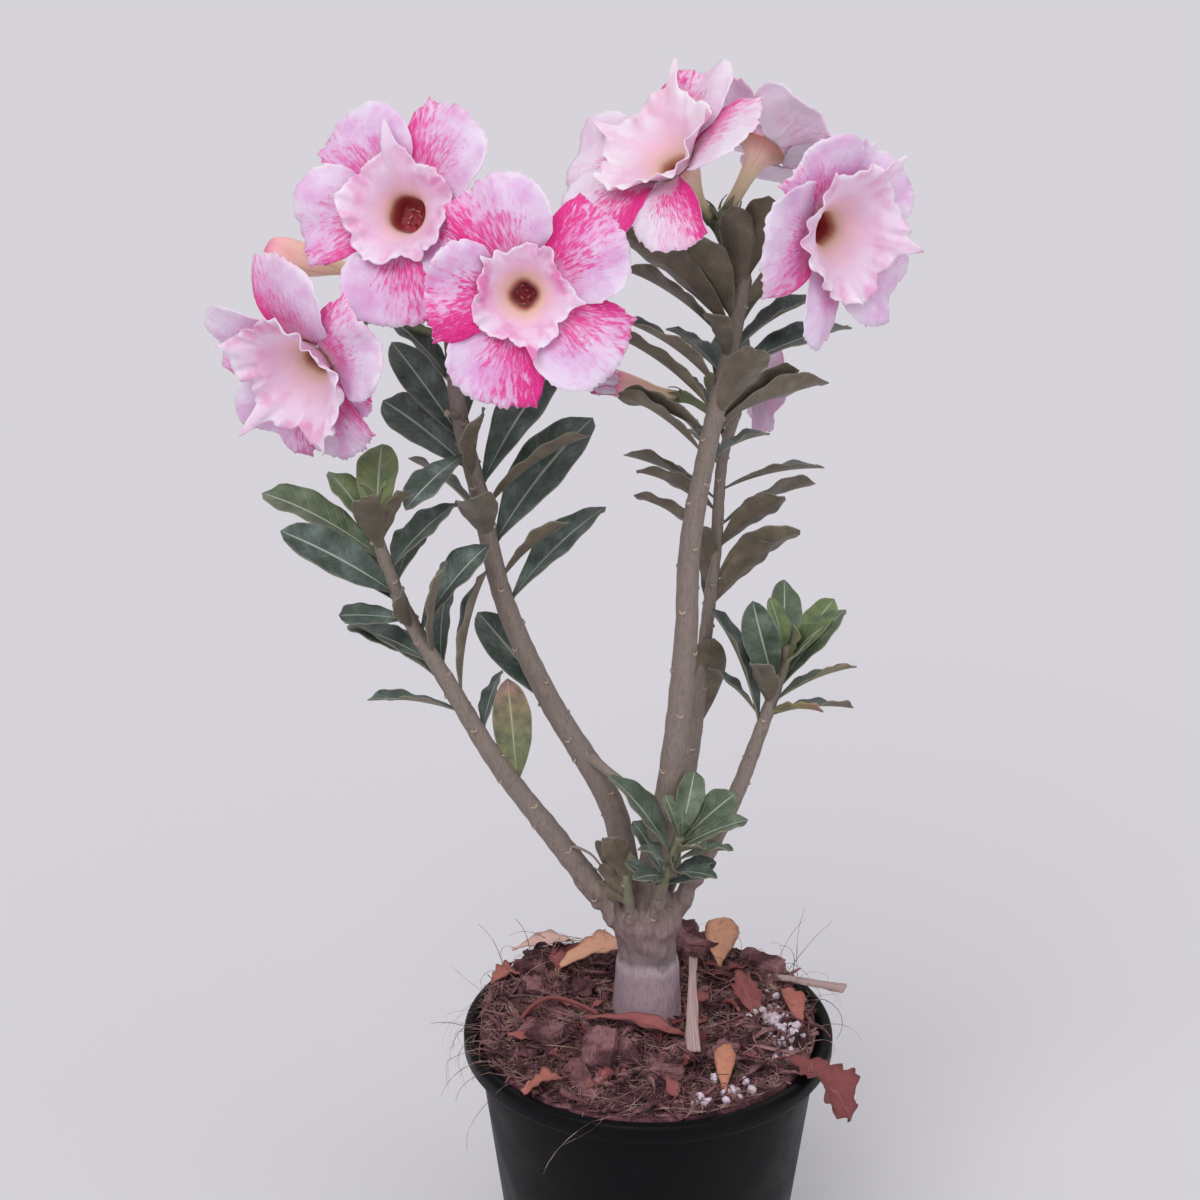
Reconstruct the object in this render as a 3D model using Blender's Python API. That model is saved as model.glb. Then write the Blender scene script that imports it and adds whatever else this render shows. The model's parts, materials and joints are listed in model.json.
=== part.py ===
"""A potted desert rose (adenium) with double flowers, growing from a grafted caudex in a black nursery pot.

The origin is the centre of the pot's underside, +Z is up, and the plant is seen from the front along +Y.
Every size below is in millimetres. Each mesh is turned to metres where its object is made.
Headings are degrees round Z from +X, so 270 faces the front. Rises are degrees above the horizontal.
"""

import math
import random

import bmesh
import bpy
from mathutils import Matrix, Vector, noise
from mathutils.bvhtree import BVHTree

MM = 0.001
SEED = 11
FIT = 0.35  # the gap between pieces that touch

# Pot
POT_HEIGHT = 130
POT_BASE_RADIUS = 54
POT_SHOULDER_RADIUS = 69
RIM_RADIUS = 75
LIP_HEIGHT = 8
POT_WALL = 1.8
POT_SIDES = 32
DRAIN_COUNT = 6
DRAIN_RADIUS = 4.5
DRAIN_CIRCLE = 36

# Coir and bark mix in the pot
SOIL_EDGE = 127
SOIL_CROWN = 131
SOIL_RELIEF = 2.4
LUMP_SPACING = 11
CLOD_SPACING = 5
SOIL_RINGS = 5
SOIL_SIDES = 26
SOIL_KNEE = 8  # below the pot's top, where the mix leaves the wall
CHIP_COUNT = 10
CHIP_CIRCLE = (26, 54)  # the chips' nearest and furthest places from the middle
CHIP_SIZES = [(9, 17), (6, 10), (4, 7)]  # least and most length, width and thickness
CHIP_SUNK = 0.6

# Caudex, as (radius, height), from the root tip in the mix up to the head that the branches leave
TRUNK_FOOT = (-0.5, 8)
CAUDEX = [
    (0, 60), (3, 61), (7, 74), (12, 92), (15.6, 110), (15.4, 122), (14.2, 131), (13.4, 140), (12.9, 149),
    (12.7, 154), (11.5, 158), (11.3, 163), (12.4, 169), (13.6, 174), (12.6, 180), (7, 185), (0, 186),
]
CAUDEX_SIDES = 14

# Branches: points along the pith, the radii at the foot and the tip, and where the leafy part starts, as a
# share of the length
BRANCHES = {
    "left_low": {
        "points": [(-3, 5, 166), (-15, 3, 181), (-38, -4, 217), (-59, -11, 251), (-75, -16, 283),
                   (-92, -19, 317), (-102, -20, 348)],
        "radii": (5.2, 2.4),
        "leafy_from": 0.36,
    },
    "left_tall": {
        "points": [(-1, 9, 165), (-8, 11, 190), (-16, 13, 224), (-40, 14, 267), (-57, 13, 309),
                   (-65, 10, 350), (-72, 7, 384), (-75, 10, 420)],
        "radii": (5.6, 2.8),
        "leafy_from": 0.33,
    },
    "centre_tall": {
        "points": [(1, 7, 165), (1, 4, 198), (8, 0, 239), (13, -3, 295), (14, -3, 335), (20, -3, 374),
                   (27, -2, 408), (33, 2, 440)],
        "radii": (5.8, 2.9),
        "leafy_from": 0.70,
    },
    "centre_back": {
        "points": [(5, 15, 166), (11, 24, 206), (17, 30, 239), (21, 34, 280), (25, 37, 322),
                   (27, 38, 358), (33, 38, 380)],
        "radii": (3.6, 2.0),
        "leafy_from": 0.33,
    },
    "right_low": {
        "points": [(5, 8, 166), (17, 9, 190), (33, 11, 225), (44, 13, 257), (51, 13, 281), (53, 12, 291)],
        "radii": (4.2, 2.2),
        "leafy_from": 0.66,
    },
    "front_short": {
        "points": [(1, 0, 172), (5, -10, 200), (8, -14, 210), (12, -17, 226)],
        "radii": (3.0, 1.8),
        "leafy_from": 0.42,
    },
    "basal": {
        "points": [(-6, 0, 172), (-8, -6, 190), (-9, -9, 202)],
        "radii": (2.6, 1.6),
        "leafy_from": 0.42,
    },
}
BRANCH_STEP = 19

# Leaves: where each leaves its branch as a share of the length, then its heading, rise and length
LEAVES = {
    "left_low": [
        (0.42, 125, 82, 44), (0.55, 70, 45, 28), (0.61, 185, 10, 37), (0.63, 60, 68, 52),
        (0.66, 160, 26, 50), (0.70, 90, 35, 40), (0.72, 150, 10, 42), (0.73, 300, 72, 46),
        (0.79, 28, 46, 42), (0.80, 262, 50, 28), (0.82, 172, 0, 27), (0.85, 140, 28, 42),
        (0.87, 200, 35, 52), (0.89, 75, 25, 36), (0.92, 35, 35, 36), (0.94, 160, 22, 54),
        (0.95, 262, 52, 38), (0.96, 135, 38, 38), (0.97, 335, 60, 26), (0.98, 92, 40, 42),
        (0.99, 230, 75, 22), (0.99, 40, 75, 20),
    ],
    "left_tall": [
        (0.39, 145, 40, 50), (0.57, 28, 38, 54), (0.61, 350, 42, 38), (0.66, 34, 44, 64),
        (0.67, 262, 42, 40), (0.70, 150, 30, 40), (0.72, 345, 38, 54), (0.75, 30, 52, 62),
        (0.76, 285, 62, 38), (0.78, 150, 28, 46), (0.81, 235, -20, 38), (0.82, 142, 42, 50),
        (0.84, 90, 45, 38), (0.88, 60, 35, 44), (0.90, 165, 45, 36), (0.93, 25, 30, 58), (0.96, 75, 45, 48),
    ],
    "centre_tall": [
        (0.74, 40, 10, 32), (0.75, 158, 30, 40), (0.76, 120, 15, 30), (0.77, 30, 30, 44),
        (0.78, 150, 12, 40), (0.79, 22, 15, 48), (0.80, 285, 35, 34), (0.81, 165, 34, 48),
        (0.83, 80, 25, 38), (0.84, 200, 38, 46), (0.86, 130, 20, 34), (0.86, 25, 14, 54),
        (0.88, 250, 45, 32), (0.89, 30, 24, 42), (0.90, 150, 28, 50), (0.91, 50, 30, 42),
        (0.92, 198, 42, 60), (0.93, 225, 55, 44), (0.94, 100, 40, 42), (0.95, 345, 36, 36),
        (0.96, 255, 68, 40), (0.97, 60, 50, 38), (0.98, 300, 66, 38),
    ],
    "centre_back": [
        (0.37, 340, 80, 44), (0.60, 95, 35, 34), (0.62, 350, 50, 38), (0.65, 225, 75, 30),
        (0.67, 345, 35, 42), (0.73, 335, 42, 38), (0.74, 158, 24, 38), (0.77, 28, 15, 46),
        (0.80, 195, 30, 38), (0.82, 160, 20, 42), (0.84, 10, 10, 42), (0.88, 110, 10, 36),
        (0.92, 130, 45, 34),
    ],
    "right_low": [
        (0.72, 150, 64, 52), (0.75, 160, 40, 30), (0.77, 15, 0, 36), (0.78, 325, 16, 26),
        (0.80, 250, 55, 30), (0.81, 20, 17, 38), (0.82, 115, 40, 30), (0.84, 30, 42, 44),
        (0.86, 190, 75, 38), (0.88, 325, 55, 34), (0.90, 85, 50, 40), (0.93, 50, 30, 38),
        (0.95, 285, 60, 22), (0.96, 140, 70, 24),
    ],
    "front_short": [
        (0.62, 235, 20, 24), (0.66, 320, -2, 28), (0.72, 225, 38, 24), (0.76, 335, 20, 32),
        (0.80, 158, 50, 46), (0.83, 300, 30, 28), (0.88, 8, 20, 34), (0.92, 62, 40, 28), (0.93, 42, 22, 38),
        (0.96, 58, 56, 32), (0.97, 290, 75, 15), (0.98, 150, 68, 20),
    ],
    "basal": [
        (0.60, 200, 62, 18), (0.72, 195, 50, 24), (0.80, 290, 70, 20), (0.88, 240, 60, 25),
    ],
}
LEAF_WIDTH_SHARE = 0.36  # of the leaf's length
LEAF_WIDTH_SPREAD = 0.15  # from one leaf to the next
LEAF_FOOT_TAPER = 1.25  # how slowly the blade widens from its foot
LEAF_TIP_TAPER = 0.62  # how bluntly it ends
LEAF_SUNK = 0.3  # of the branch's radius, from its pith out to the leaf's foot
LEAF_THICKNESS = 0.8
LEAF_BEND = 28  # degrees that the blade curves back over its length
LEAF_FOLD = 20  # degrees that each half rises from the midrib
LEAF_WAVE = 0.9
PETIOLE_HALF_WIDTH = 1.1

# Blooms, by the centre of the mouth of the tube, the way the bloom faces and its roll round that line
BLOOMS = {
    "bloom_left_low": {"mouth": (-125, -10, 407), "faces": (238, -18), "roll": 20, "stem": "left_tall"},
    "bloom_left_top": {"mouth": (-89, -10, 463), "faces": (254, 20), "roll": 50, "stem": "left_tall"},
    "bloom_left_front": {"mouth": (-45, -39, 440), "faces": (270, 12), "roll": 38, "stem": "left_tall"},
    "bloom_centre": {"mouth": (4, -9, 482), "faces": (222, 48), "roll": 42, "stem": "centre_tall"},
    "bloom_right": {"mouth": (63, -15, 458), "faces": (312, 0), "roll": 0, "stem": "centre_tall"},
    "bloom_behind": {"mouth": (40, 31, 481), "faces": (52, 44), "roll": 0, "stem": "centre_tall"},
    "bloom_back": {
        "mouth": (41, 52, 384), "faces": (20, -12), "roll": 40, "stem": "centre_back", "size": 0.55,
    },
}
BUDS = {
    "half_open_bud": {
        "mouth": (-15, 37, 389), "faces": (180, 12), "roll": 0, "stem": "centre_back", "size": 0.8,
    },
    "closed_bud": {"mouth": (-137, 21, 441), "faces": (186, 14), "roll": 0, "stem": "left_tall"},
}
TUBE_LENGTH = 31
TUBE_SIDES = 8
# (radius, distance from the calyx) up the outside of the tube and down into its throat
TUBE = [(0, 0), (2.3, 0), (2.9, 9), (6.2, 19), (9.2, 27), (9.4, 31), (7.4, 31.2), (5.4, 22), (0, 14)]
BUD_TUBE = [(0, 0), (2.2, 0), (2.8, 10), (5.2, 22), (6.4, 30), (5.2, 30.4), (3.6, 24), (0, 18)]
CLOSED_BUD = [(0, 0), (2.2, 0), (2.7, 9), (5.2, 20), (6.2, 27), (4.4, 34), (1.6, 39), (0, 41)]
PETAL_COUNT = 5
PETAL_THICKNESS = 0.8
# A petal's foot is (distance from the centre line, height), and it opens from the first slope to the second
OUTER_PETAL = {
    "length": 35, "width": 35, "foot": (8.7, 28.5), "opens": (40, -22), "cells": (4, 3), "corner": 2.5,
}
BUD_PETAL = {"length": 13, "width": 9, "foot": (5.6, 28.5), "opens": (84, 68), "cells": (1, 2), "corner": 0}
PETAL_PINWHEEL = 13  # degrees that a petal is turned about its own midline
CURL_LENGTH = 34  # the reach at which a petal has its last slope
PETAL_FOOT_SHARE = 0.25  # of the petal's width, at its foot
PETAL_SWELL = 146  # degrees of a sine wave that the petal's width follows from foot to tip
PETAL_ROUND = 0.24  # of the petal's length, that its tip's corners fall short
PETAL_RUFFLE = 1.5
PETAL_HOLLOW = 0.012  # how far the petal's sides rise at its foot, for each square of the distance across
BUD_TWIST = 1.6  # degrees for each millimetre along a closed bud
# The second flower inside the first: a funnel whose rim is cut into pointed lobes
FUNNEL_FOOT = (8.2, 28.5)
FUNNEL_OPENS = (64, 8)
FUNNEL_DEPTH = {"notch": 15, "shoulder": 20, "tip": 26}
FUNNEL_RUFFLE = 1.2
PEDICEL_RADIUS = 1.6
CALYX_RADIUS = 2.5

# Dead leaves that lie on the mix or the rim: place, heading, length, width, and how much the blade curls
FALLEN_LEAVES = {
    "fallen_leaf_back_left": ((-40, 45), 10, 26, 8, 40),
    "fallen_leaf_behind_trunk": ((-24, 32), 25, 30, 9, 55),
    "fallen_leaf_back_right": ((34, 46), 85, 22, 14, 50),
    "fallen_leaf_left": ((-54, 22), 40, 15, 10, 70),
    "fallen_leaf_long": ((-8, -18), 338, 48, 9, 35),
    "fallen_leaf_right": ((55, 2), 110, 24, 10, 60),
    "fallen_leaf_mid_right": ((38, 14), 60, 26, 12, 80),
    "fallen_leaf_front_right": ((32, -36), 85, 24, 9, 45),
    "fallen_leaf_front_left": ((-40, -46), 20, 17, 10, 75),
    "fallen_leaf_on_rim": ((64, -45), 338, 44, 24, 60),
}
# Splinters of old wood: place, heading, tilt, length, width, thickness
BARK_STRIPS = {
    "bark_strip_front": ((18.5, 2), 94, 0, 48, 4.6, 1.6),
    "bark_strip_right": ((58, 26), 160, 7, 28, 5, 1.8),
}
FALLEN_LEAF_THICKNESS = 0.7
STRIP_TAPER = 0.45  # the width of a splinter's narrow end, as a share of the other
DROP_HEIGHT = 151  # from which leaves and splinters are let down onto the mix

MATERIALS = {
    "pot": ((0.022, 0.023, 0.026), 0.45),
    "growing_medium": ((0.16, 0.08, 0.06), 0.95),
    "bark": ((0.25, 0.21, 0.17), 0.8),
    "leaf": ((0.09, 0.15, 0.07), 0.5),
    "petal": ((0.86, 0.42, 0.58), 0.6),
    "dead_leaf": ((0.42, 0.17, 0.08), 0.8),
    "dry_wood": ((0.32, 0.24, 0.21), 0.9),
}


def material(name):
    """The material of that name, made the first time it is asked for."""
    found = bpy.data.materials.get(name)
    if found:
        return found
    colour, roughness = MATERIALS[name]
    found = bpy.data.materials.new(name)
    found.use_nodes = True
    shader = found.node_tree.nodes["Principled BSDF"]
    shader.inputs["Base Color"].default_value = (*colour, 1)
    shader.inputs["Roughness"].default_value = roughness
    shader.inputs["Metallic"].default_value = 0
    return found


def add_object(name, bm, material_name):
    """Turns a bmesh in millimetres into an object in metres."""
    mesh = bpy.data.meshes.new(name)
    bmesh.ops.scale(bm, verts=bm.verts, vec=(MM, MM, MM))
    bm.to_mesh(mesh)
    bm.free()
    mesh.shade_smooth()
    mesh.set_sharp_from_angle(angle=math.radians(40))
    obj = bpy.data.objects.new(name, mesh)
    obj.data.materials.append(material(material_name))
    bpy.context.scene.collection.objects.link(obj)
    return obj


def applied(obj):
    """Bakes an object's modifiers into its mesh."""
    bpy.context.view_layer.update()
    graph = bpy.context.evaluated_depsgraph_get()
    mesh = bpy.data.meshes.new_from_object(obj.evaluated_get(graph))
    obj.modifiers.clear()
    obj.data = mesh
    return obj


def fused(obj, pieces):
    """Joins the pieces to the object as one body, and removes them."""
    group = bpy.data.collections.new(obj.name + "_pieces")
    bpy.context.scene.collection.children.link(group)
    for piece in pieces:
        bpy.context.scene.collection.objects.unlink(piece)
        group.objects.link(piece)
    union = obj.modifiers.new("fuse", "BOOLEAN")
    union.operation = "UNION"
    union.operand_type = "COLLECTION"
    union.collection = group
    union.solver = "EXACT"
    applied(obj)
    for piece in pieces:
        bpy.data.objects.remove(piece)
    bpy.data.collections.remove(group)
    return obj


def cut(obj, cutter):
    """Takes the cutter's shape out of the object, and removes the cutter."""
    hole = obj.modifiers.new("cut", "BOOLEAN")
    hole.operation = "DIFFERENCE"
    hole.object = cutter
    hole.solver = "EXACT"
    applied(obj)
    bpy.data.objects.remove(cutter)
    return obj


def facing(heading, rise):
    """The unit vector at a heading and a rise, in degrees."""
    across = math.cos(math.radians(rise))
    return Vector((
        across * math.cos(math.radians(heading)),
        across * math.sin(math.radians(heading)),
        math.sin(math.radians(rise)),
    ))


def turned(profile, sides, centre=(0, 0)):
    """A closed body turned round an upright line from an outline that starts and ends on that line."""
    bm = bmesh.new()
    verts = [bm.verts.new((radius, 0, height)) for radius, height in profile]
    edges = [bm.edges.new(pair) for pair in zip(verts, verts[1:])]
    bmesh.ops.spin(
        bm, geom=verts + edges, axis=(0, 0, 1), cent=(0, 0, 0), angle=math.tau, steps=sides, use_merge=True
    )
    bmesh.ops.remove_doubles(bm, verts=bm.verts, dist=0.001)
    bmesh.ops.recalc_face_normals(bm, faces=bm.faces)
    bmesh.ops.translate(bm, verts=bm.verts, vec=(*centre, 0))
    return bm


def between(a, b, c, d, t):
    """The point at a share t from b to c, on the smooth curve that runs through all four points."""
    slope = c - a
    bend = 2 * a - 5 * b + 4 * c - d
    twist = 3 * b - a - 3 * c + d
    return b + 0.5 * (slope * t + bend * t**2 + twist * t**3)


def smooth_path(points, step):
    """Points about a step apart on a smooth curve through the given ones."""
    points = [Vector(p) for p in points]
    before, after = points[0] * 2 - points[1], points[-1] * 2 - points[-2]
    ends = [before, *points, after]
    path = []
    for a, b, c, d in zip(ends, ends[1:], ends[2:], ends[3:]):
        count = max(1, round((c - b).length / step))
        path += [between(a, b, c, d, k / count) for k in range(count)]
    return [*path, points[-1]]


def share_of(path, share):
    """The point and the direction at a share of a path's length."""
    lengths = [(b - a).length for a, b in zip(path, path[1:])]
    left = share * sum(lengths)
    for a, b, length in zip(path, path[1:], lengths):
        if left <= length:
            return a.lerp(b, left / length), (b - a).normalized()
        left -= length
    return path[-1], (path[-1] - path[-2]).normalized()


def stretch_of(path, start, end):
    """The part of a path between two shares of its length."""
    lengths = [(b - a).length for a, b in zip(path, path[1:])]
    total, run, inside = sum(lengths), 0, []
    for point, length in zip(path[1:], lengths):
        run += length
        if start + 0.02 < run / total < end - 0.02:
            inside.append(point)
    return [share_of(path, start)[0], *inside, share_of(path, end)[0]]


def rod(name, path, radii, material_name, roundness=1):
    """A round stem along a path, as thick as each point's radius."""
    curve = bpy.data.curves.new(name, "CURVE")
    curve.dimensions = "3D"
    curve.bevel_depth = MM
    curve.bevel_resolution = roundness
    curve.use_fill_caps = True
    spline = curve.splines.new("POLY")
    spline.points.add(len(path) - 1)
    for place, point, radius in zip(spline.points, path, radii):
        place.co = (*(point * MM), 1)
        place.radius = radius
    guide = bpy.data.objects.new(name, curve)
    bpy.context.scene.collection.objects.link(guide)
    bpy.context.view_layer.update()
    mesh = bpy.data.meshes.new_from_object(guide.evaluated_get(bpy.context.evaluated_depsgraph_get()))
    bpy.data.objects.remove(guide)
    bm = bmesh.new()
    bm.from_mesh(mesh)
    bmesh.ops.remove_doubles(bm, verts=bm.verts, dist=0.01 * MM)
    bmesh.ops.recalc_face_normals(bm, faces=bm.faces)
    bmesh.ops.scale(bm, verts=bm.verts, vec=(1 / MM, 1 / MM, 1 / MM))
    return add_object(name, bm, material_name)


def tapered(path, radii):
    """A radius for each point of a path, from the first of the two radii to the second."""
    return [radii[0] + (radii[1] - radii[0]) * k / (len(path) - 1) for k in range(len(path))]


def sheet(cells, shape, thickness):
    """A thin closed body: a grid bent by a rule for u, -1 to 1 across, and t, 0 to 1 along."""
    bm = bmesh.new()
    bmesh.ops.create_grid(bm, x_segments=cells[0], y_segments=cells[1], size=0.5)
    for vert in bm.verts:
        vert.co = shape(2 * vert.co.x, vert.co.y + 0.5)
    bmesh.ops.remove_doubles(bm, verts=bm.verts, dist=0.01)
    bmesh.ops.triangulate(bm, faces=bm.faces)
    bm.normal_update()
    bmesh.ops.solidify(bm, geom=bm.faces[:], thickness=thickness)
    bmesh.ops.recalc_face_normals(bm, faces=bm.faces)
    return bm


def blade_width(t):
    """A leaf's width along its length, as a share of the widest: a wedge-shaped foot and a blunt point."""
    widest = LEAF_FOOT_TAPER / (LEAF_FOOT_TAPER + LEAF_TIP_TAPER)
    most = widest**LEAF_FOOT_TAPER * (1 - widest) ** LEAF_TIP_TAPER
    return t**LEAF_FOOT_TAPER * (1 - t) ** LEAF_TIP_TAPER / most


def leaf(name, foot, along, upper, length, bend, width_share, material_name, thickness):
    """One leaf from its foot, its chord along a direction, with its upper face towards another."""
    upper = (upper - along * upper.dot(along)).normalized()
    side = along.cross(upper)
    half_turn = math.radians(bend) / 2
    start = along * math.cos(half_turn) + upper * math.sin(half_turn)
    rise = upper * math.cos(half_turn) - along * math.sin(half_turn)
    half_width = length * width_share / 2
    phase = length * 0.7

    def shape(u, t):
        turn = 2 * half_turn * t
        reach = length * (math.sin(turn) / (2 * half_turn))
        drop = length * ((1 - math.cos(turn)) / (2 * half_turn))
        narrow = PETIOLE_HALF_WIDTH if t < 0.9 else 0
        half = max(half_width * blade_width(t), narrow)
        lift = abs(u) * half * math.sin(math.radians(LEAF_FOLD)) + LEAF_WAVE * u * math.sin(9 * t + phase) * t
        normal = rise * math.cos(turn) + start * math.sin(turn)
        across = u * half * math.cos(math.radians(LEAF_FOLD))
        return foot + start * reach - rise * drop + side * across + normal * (lift if t < 0.95 else 0)

    return add_object(name, sheet((2, 3), shape, thickness), material_name)


def curled(foot, opens, reach):
    """The distance out and up from the flower's centre line, and the slope, at a reach along a petal."""
    out, up = foot
    first, last = (math.radians(a) for a in opens)
    steps = 10
    for k in range(steps):
        slope = first + (last - first) * (k + 0.5) / steps * min(1, reach / CURL_LENGTH)
        out += math.cos(slope) * reach / steps
        up += math.sin(slope) * reach / steps
    return out, up, slope


def petal(sizes, turn, pinwheel, phase, thickness):
    """One broad petal round the +Z axis that a bloom faces along, with a corner at one side of its tip."""
    tilt = math.tan(math.radians(pinwheel))

    def shape(u, t):
        reach = sizes["length"] * t * (1 - PETAL_ROUND * u * u * t)
        if t > 0.95 and 0.3 < u < 0.7:
            reach += sizes["corner"]
        swell = math.sin(math.radians(PETAL_SWELL * t**1.15))
        across = u * sizes["width"] / 2 * (PETAL_FOOT_SHARE + (1 - PETAL_FOOT_SHARE) * swell)
        out, up, slope = curled(sizes["foot"], sizes["opens"], reach)
        ruffle = PETAL_RUFFLE * t * math.sin(4 * u + phase)
        lift = tilt * across * t + ruffle + PETAL_HOLLOW * across**2 * (1 - t)
        return Vector((out - lift * math.sin(slope), across, up + lift * math.cos(slope)))

    bm = sheet(sizes["cells"], shape, thickness)
    bmesh.ops.rotate(bm, verts=bm.verts, cent=(0, 0, 0), matrix=Matrix.Rotation(turn, 3, "Z"))
    return bm


def funnel(thickness):
    """The inner flower's wall: each lobe has a shoulder and a pointed tip between two notches."""
    depths = [FUNNEL_DEPTH["notch"], FUNNEL_DEPTH["shoulder"], FUNNEL_DEPTH["tip"]]
    cells = len(depths) * PETAL_COUNT

    def shape(u, t):
        k = round((u + 1) / 2 * cells)
        turn = math.tau * k / cells
        out, up, slope = curled(FUNNEL_FOOT, FUNNEL_OPENS, t * depths[k % len(depths)])
        lift = FUNNEL_RUFFLE * t * math.sin(3 * turn)
        out -= lift * math.sin(slope)
        return Vector((out * math.cos(turn), out * math.sin(turn), up + lift * math.cos(slope)))

    return sheet((cells, 2), shape, thickness)


def set_facing(obj, spec):
    """Puts a flower made along +Z with its mouth where it is asked for, turned the way it faces."""
    size = spec.get("size", 1)
    along = facing(*spec["faces"])
    turn = along.to_track_quat("Z", "Y").to_matrix() @ Matrix.Rotation(math.radians(spec["roll"]), 3, "Z")
    obj.data.transform(Matrix.Scale(size, 4))
    obj.rotation_euler = turn.to_euler()
    obj.location = flower_foot(spec)[0] * MM
    return obj


def flower_foot(spec):
    """Where a flower's tube starts, and the way it leaves."""
    along = facing(*spec["faces"])
    return Vector(spec["mouth"]) - along * TUBE_LENGTH * spec.get("size", 1), along


def petal_turns():
    """The turns of a flower's petals round its centre line."""
    return [math.tau * k / PETAL_COUNT for k in range(PETAL_COUNT)]


def bloom(name, spec):
    """A double flower: a tube, five broad petals that open flat and a funnel with five points inside them."""
    thickness = PETAL_THICKNESS / spec.get("size", 1)
    outer = OUTER_PETAL if spec.get("size", 1) == 1 else {**OUTER_PETAL, "cells": (2, 3)}
    pieces = [add_object(f"{name}_funnel", funnel(thickness), "petal")]
    for k, turn in enumerate(petal_turns()):
        blade = petal(outer, turn, PETAL_PINWHEEL, k, thickness)
        pieces.append(add_object(f"{name}_petal_{k}", blade, "petal"))
    return set_facing(fused(add_object(name, turned(TUBE, TUBE_SIDES), "petal"), pieces), spec)


def half_open_bud(name, spec):
    """A flower that has just burst: a slim tube with five short petals still standing up."""
    thickness = PETAL_THICKNESS / spec.get("size", 1)
    pieces = [
        add_object(f"{name}_petal_{k}", petal(BUD_PETAL, turn, PETAL_PINWHEEL, turn, thickness), "petal")
        for k, turn in enumerate(petal_turns())
    ]
    return set_facing(fused(add_object(name, turned(BUD_TUBE, TUBE_SIDES), "petal"), pieces), spec)


def closed_bud(name, spec):
    """A shut bud whose tip is twisted."""
    bm = turned(CLOSED_BUD, TUBE_SIDES)
    for vert in bm.verts:
        vert.co.rotate(Matrix.Rotation(math.radians(BUD_TWIST) * vert.co.z, 3, "Z"))
    return set_facing(add_object(name, bm, "petal"), spec)


def pedicel(name, start, spec):
    """The green stalk and calyx that carry a flower, bent to meet its tube."""
    foot, along = flower_foot(spec)
    end = foot - along * FIT
    path = smooth_path([start, start.lerp(end, 0.5) - along * 3, end - along * 4, end], 6)
    radii = [PEDICEL_RADIUS] * (len(path) - 2) + [CALYX_RADIUS] * 2
    return rod(name, path, radii, "leaf")


def pot():
    """A turned nursery pot with a rolled lip, and drain holes in its floor."""
    inner = POT_SHOULDER_RADIUS - POT_WALL
    profile = [
        (0, 0), (POT_BASE_RADIUS - 1, 0), (POT_BASE_RADIUS, 1),
        (POT_SHOULDER_RADIUS, POT_HEIGHT - LIP_HEIGHT - 1), (RIM_RADIUS, POT_HEIGHT - LIP_HEIGHT + 0.5),
        (RIM_RADIUS, POT_HEIGHT - 1.5), (RIM_RADIUS - 1.5, POT_HEIGHT), (RIM_RADIUS - 3.5, POT_HEIGHT),
        (inner, POT_HEIGHT - 5),
        (POT_BASE_RADIUS - POT_WALL, POT_WALL), (0, POT_WALL),
    ]
    body = add_object("pot", turned(profile, POT_SIDES), "pot")
    for k in range(DRAIN_COUNT):
        turn = math.tau * (k + 0.5) / DRAIN_COUNT
        bm = bmesh.new()
        bmesh.ops.create_cone(
            bm, cap_ends=True, segments=10, radius1=DRAIN_RADIUS, radius2=DRAIN_RADIUS, depth=8,
            matrix=Matrix.Translation((DRAIN_CIRCLE * math.cos(turn), DRAIN_CIRCLE * math.sin(turn), 1.5)),
        )
        cut(body, add_object("drain_cutter", bm, "pot"))
    return body


def inside_radius(height):
    """The pot's inner wall, from its floor to its lip."""
    foot, top = POT_BASE_RADIUS - POT_WALL, POT_SHOULDER_RADIUS - POT_WALL
    return foot + (top - foot) * (height - POT_WALL) / (POT_HEIGHT - 5 - POT_WALL)


def soil_height(x, y):
    """The mix's surface: a low mound with lumps."""
    away = min(1, math.hypot(x, y) / POT_SHOULDER_RADIUS)
    mound = SOIL_EDGE + (SOIL_CROWN - SOIL_EDGE) * (1 - away**2)
    lumps = noise.noise(Vector((x, y, 3)) / LUMP_SPACING)
    lumps += 0.6 * noise.noise(Vector((x, y, 9)) / CLOD_SPACING)
    return mound + SOIL_RELIEF * lumps * min(1, 4 * (1 - away) + 0.25)


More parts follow.
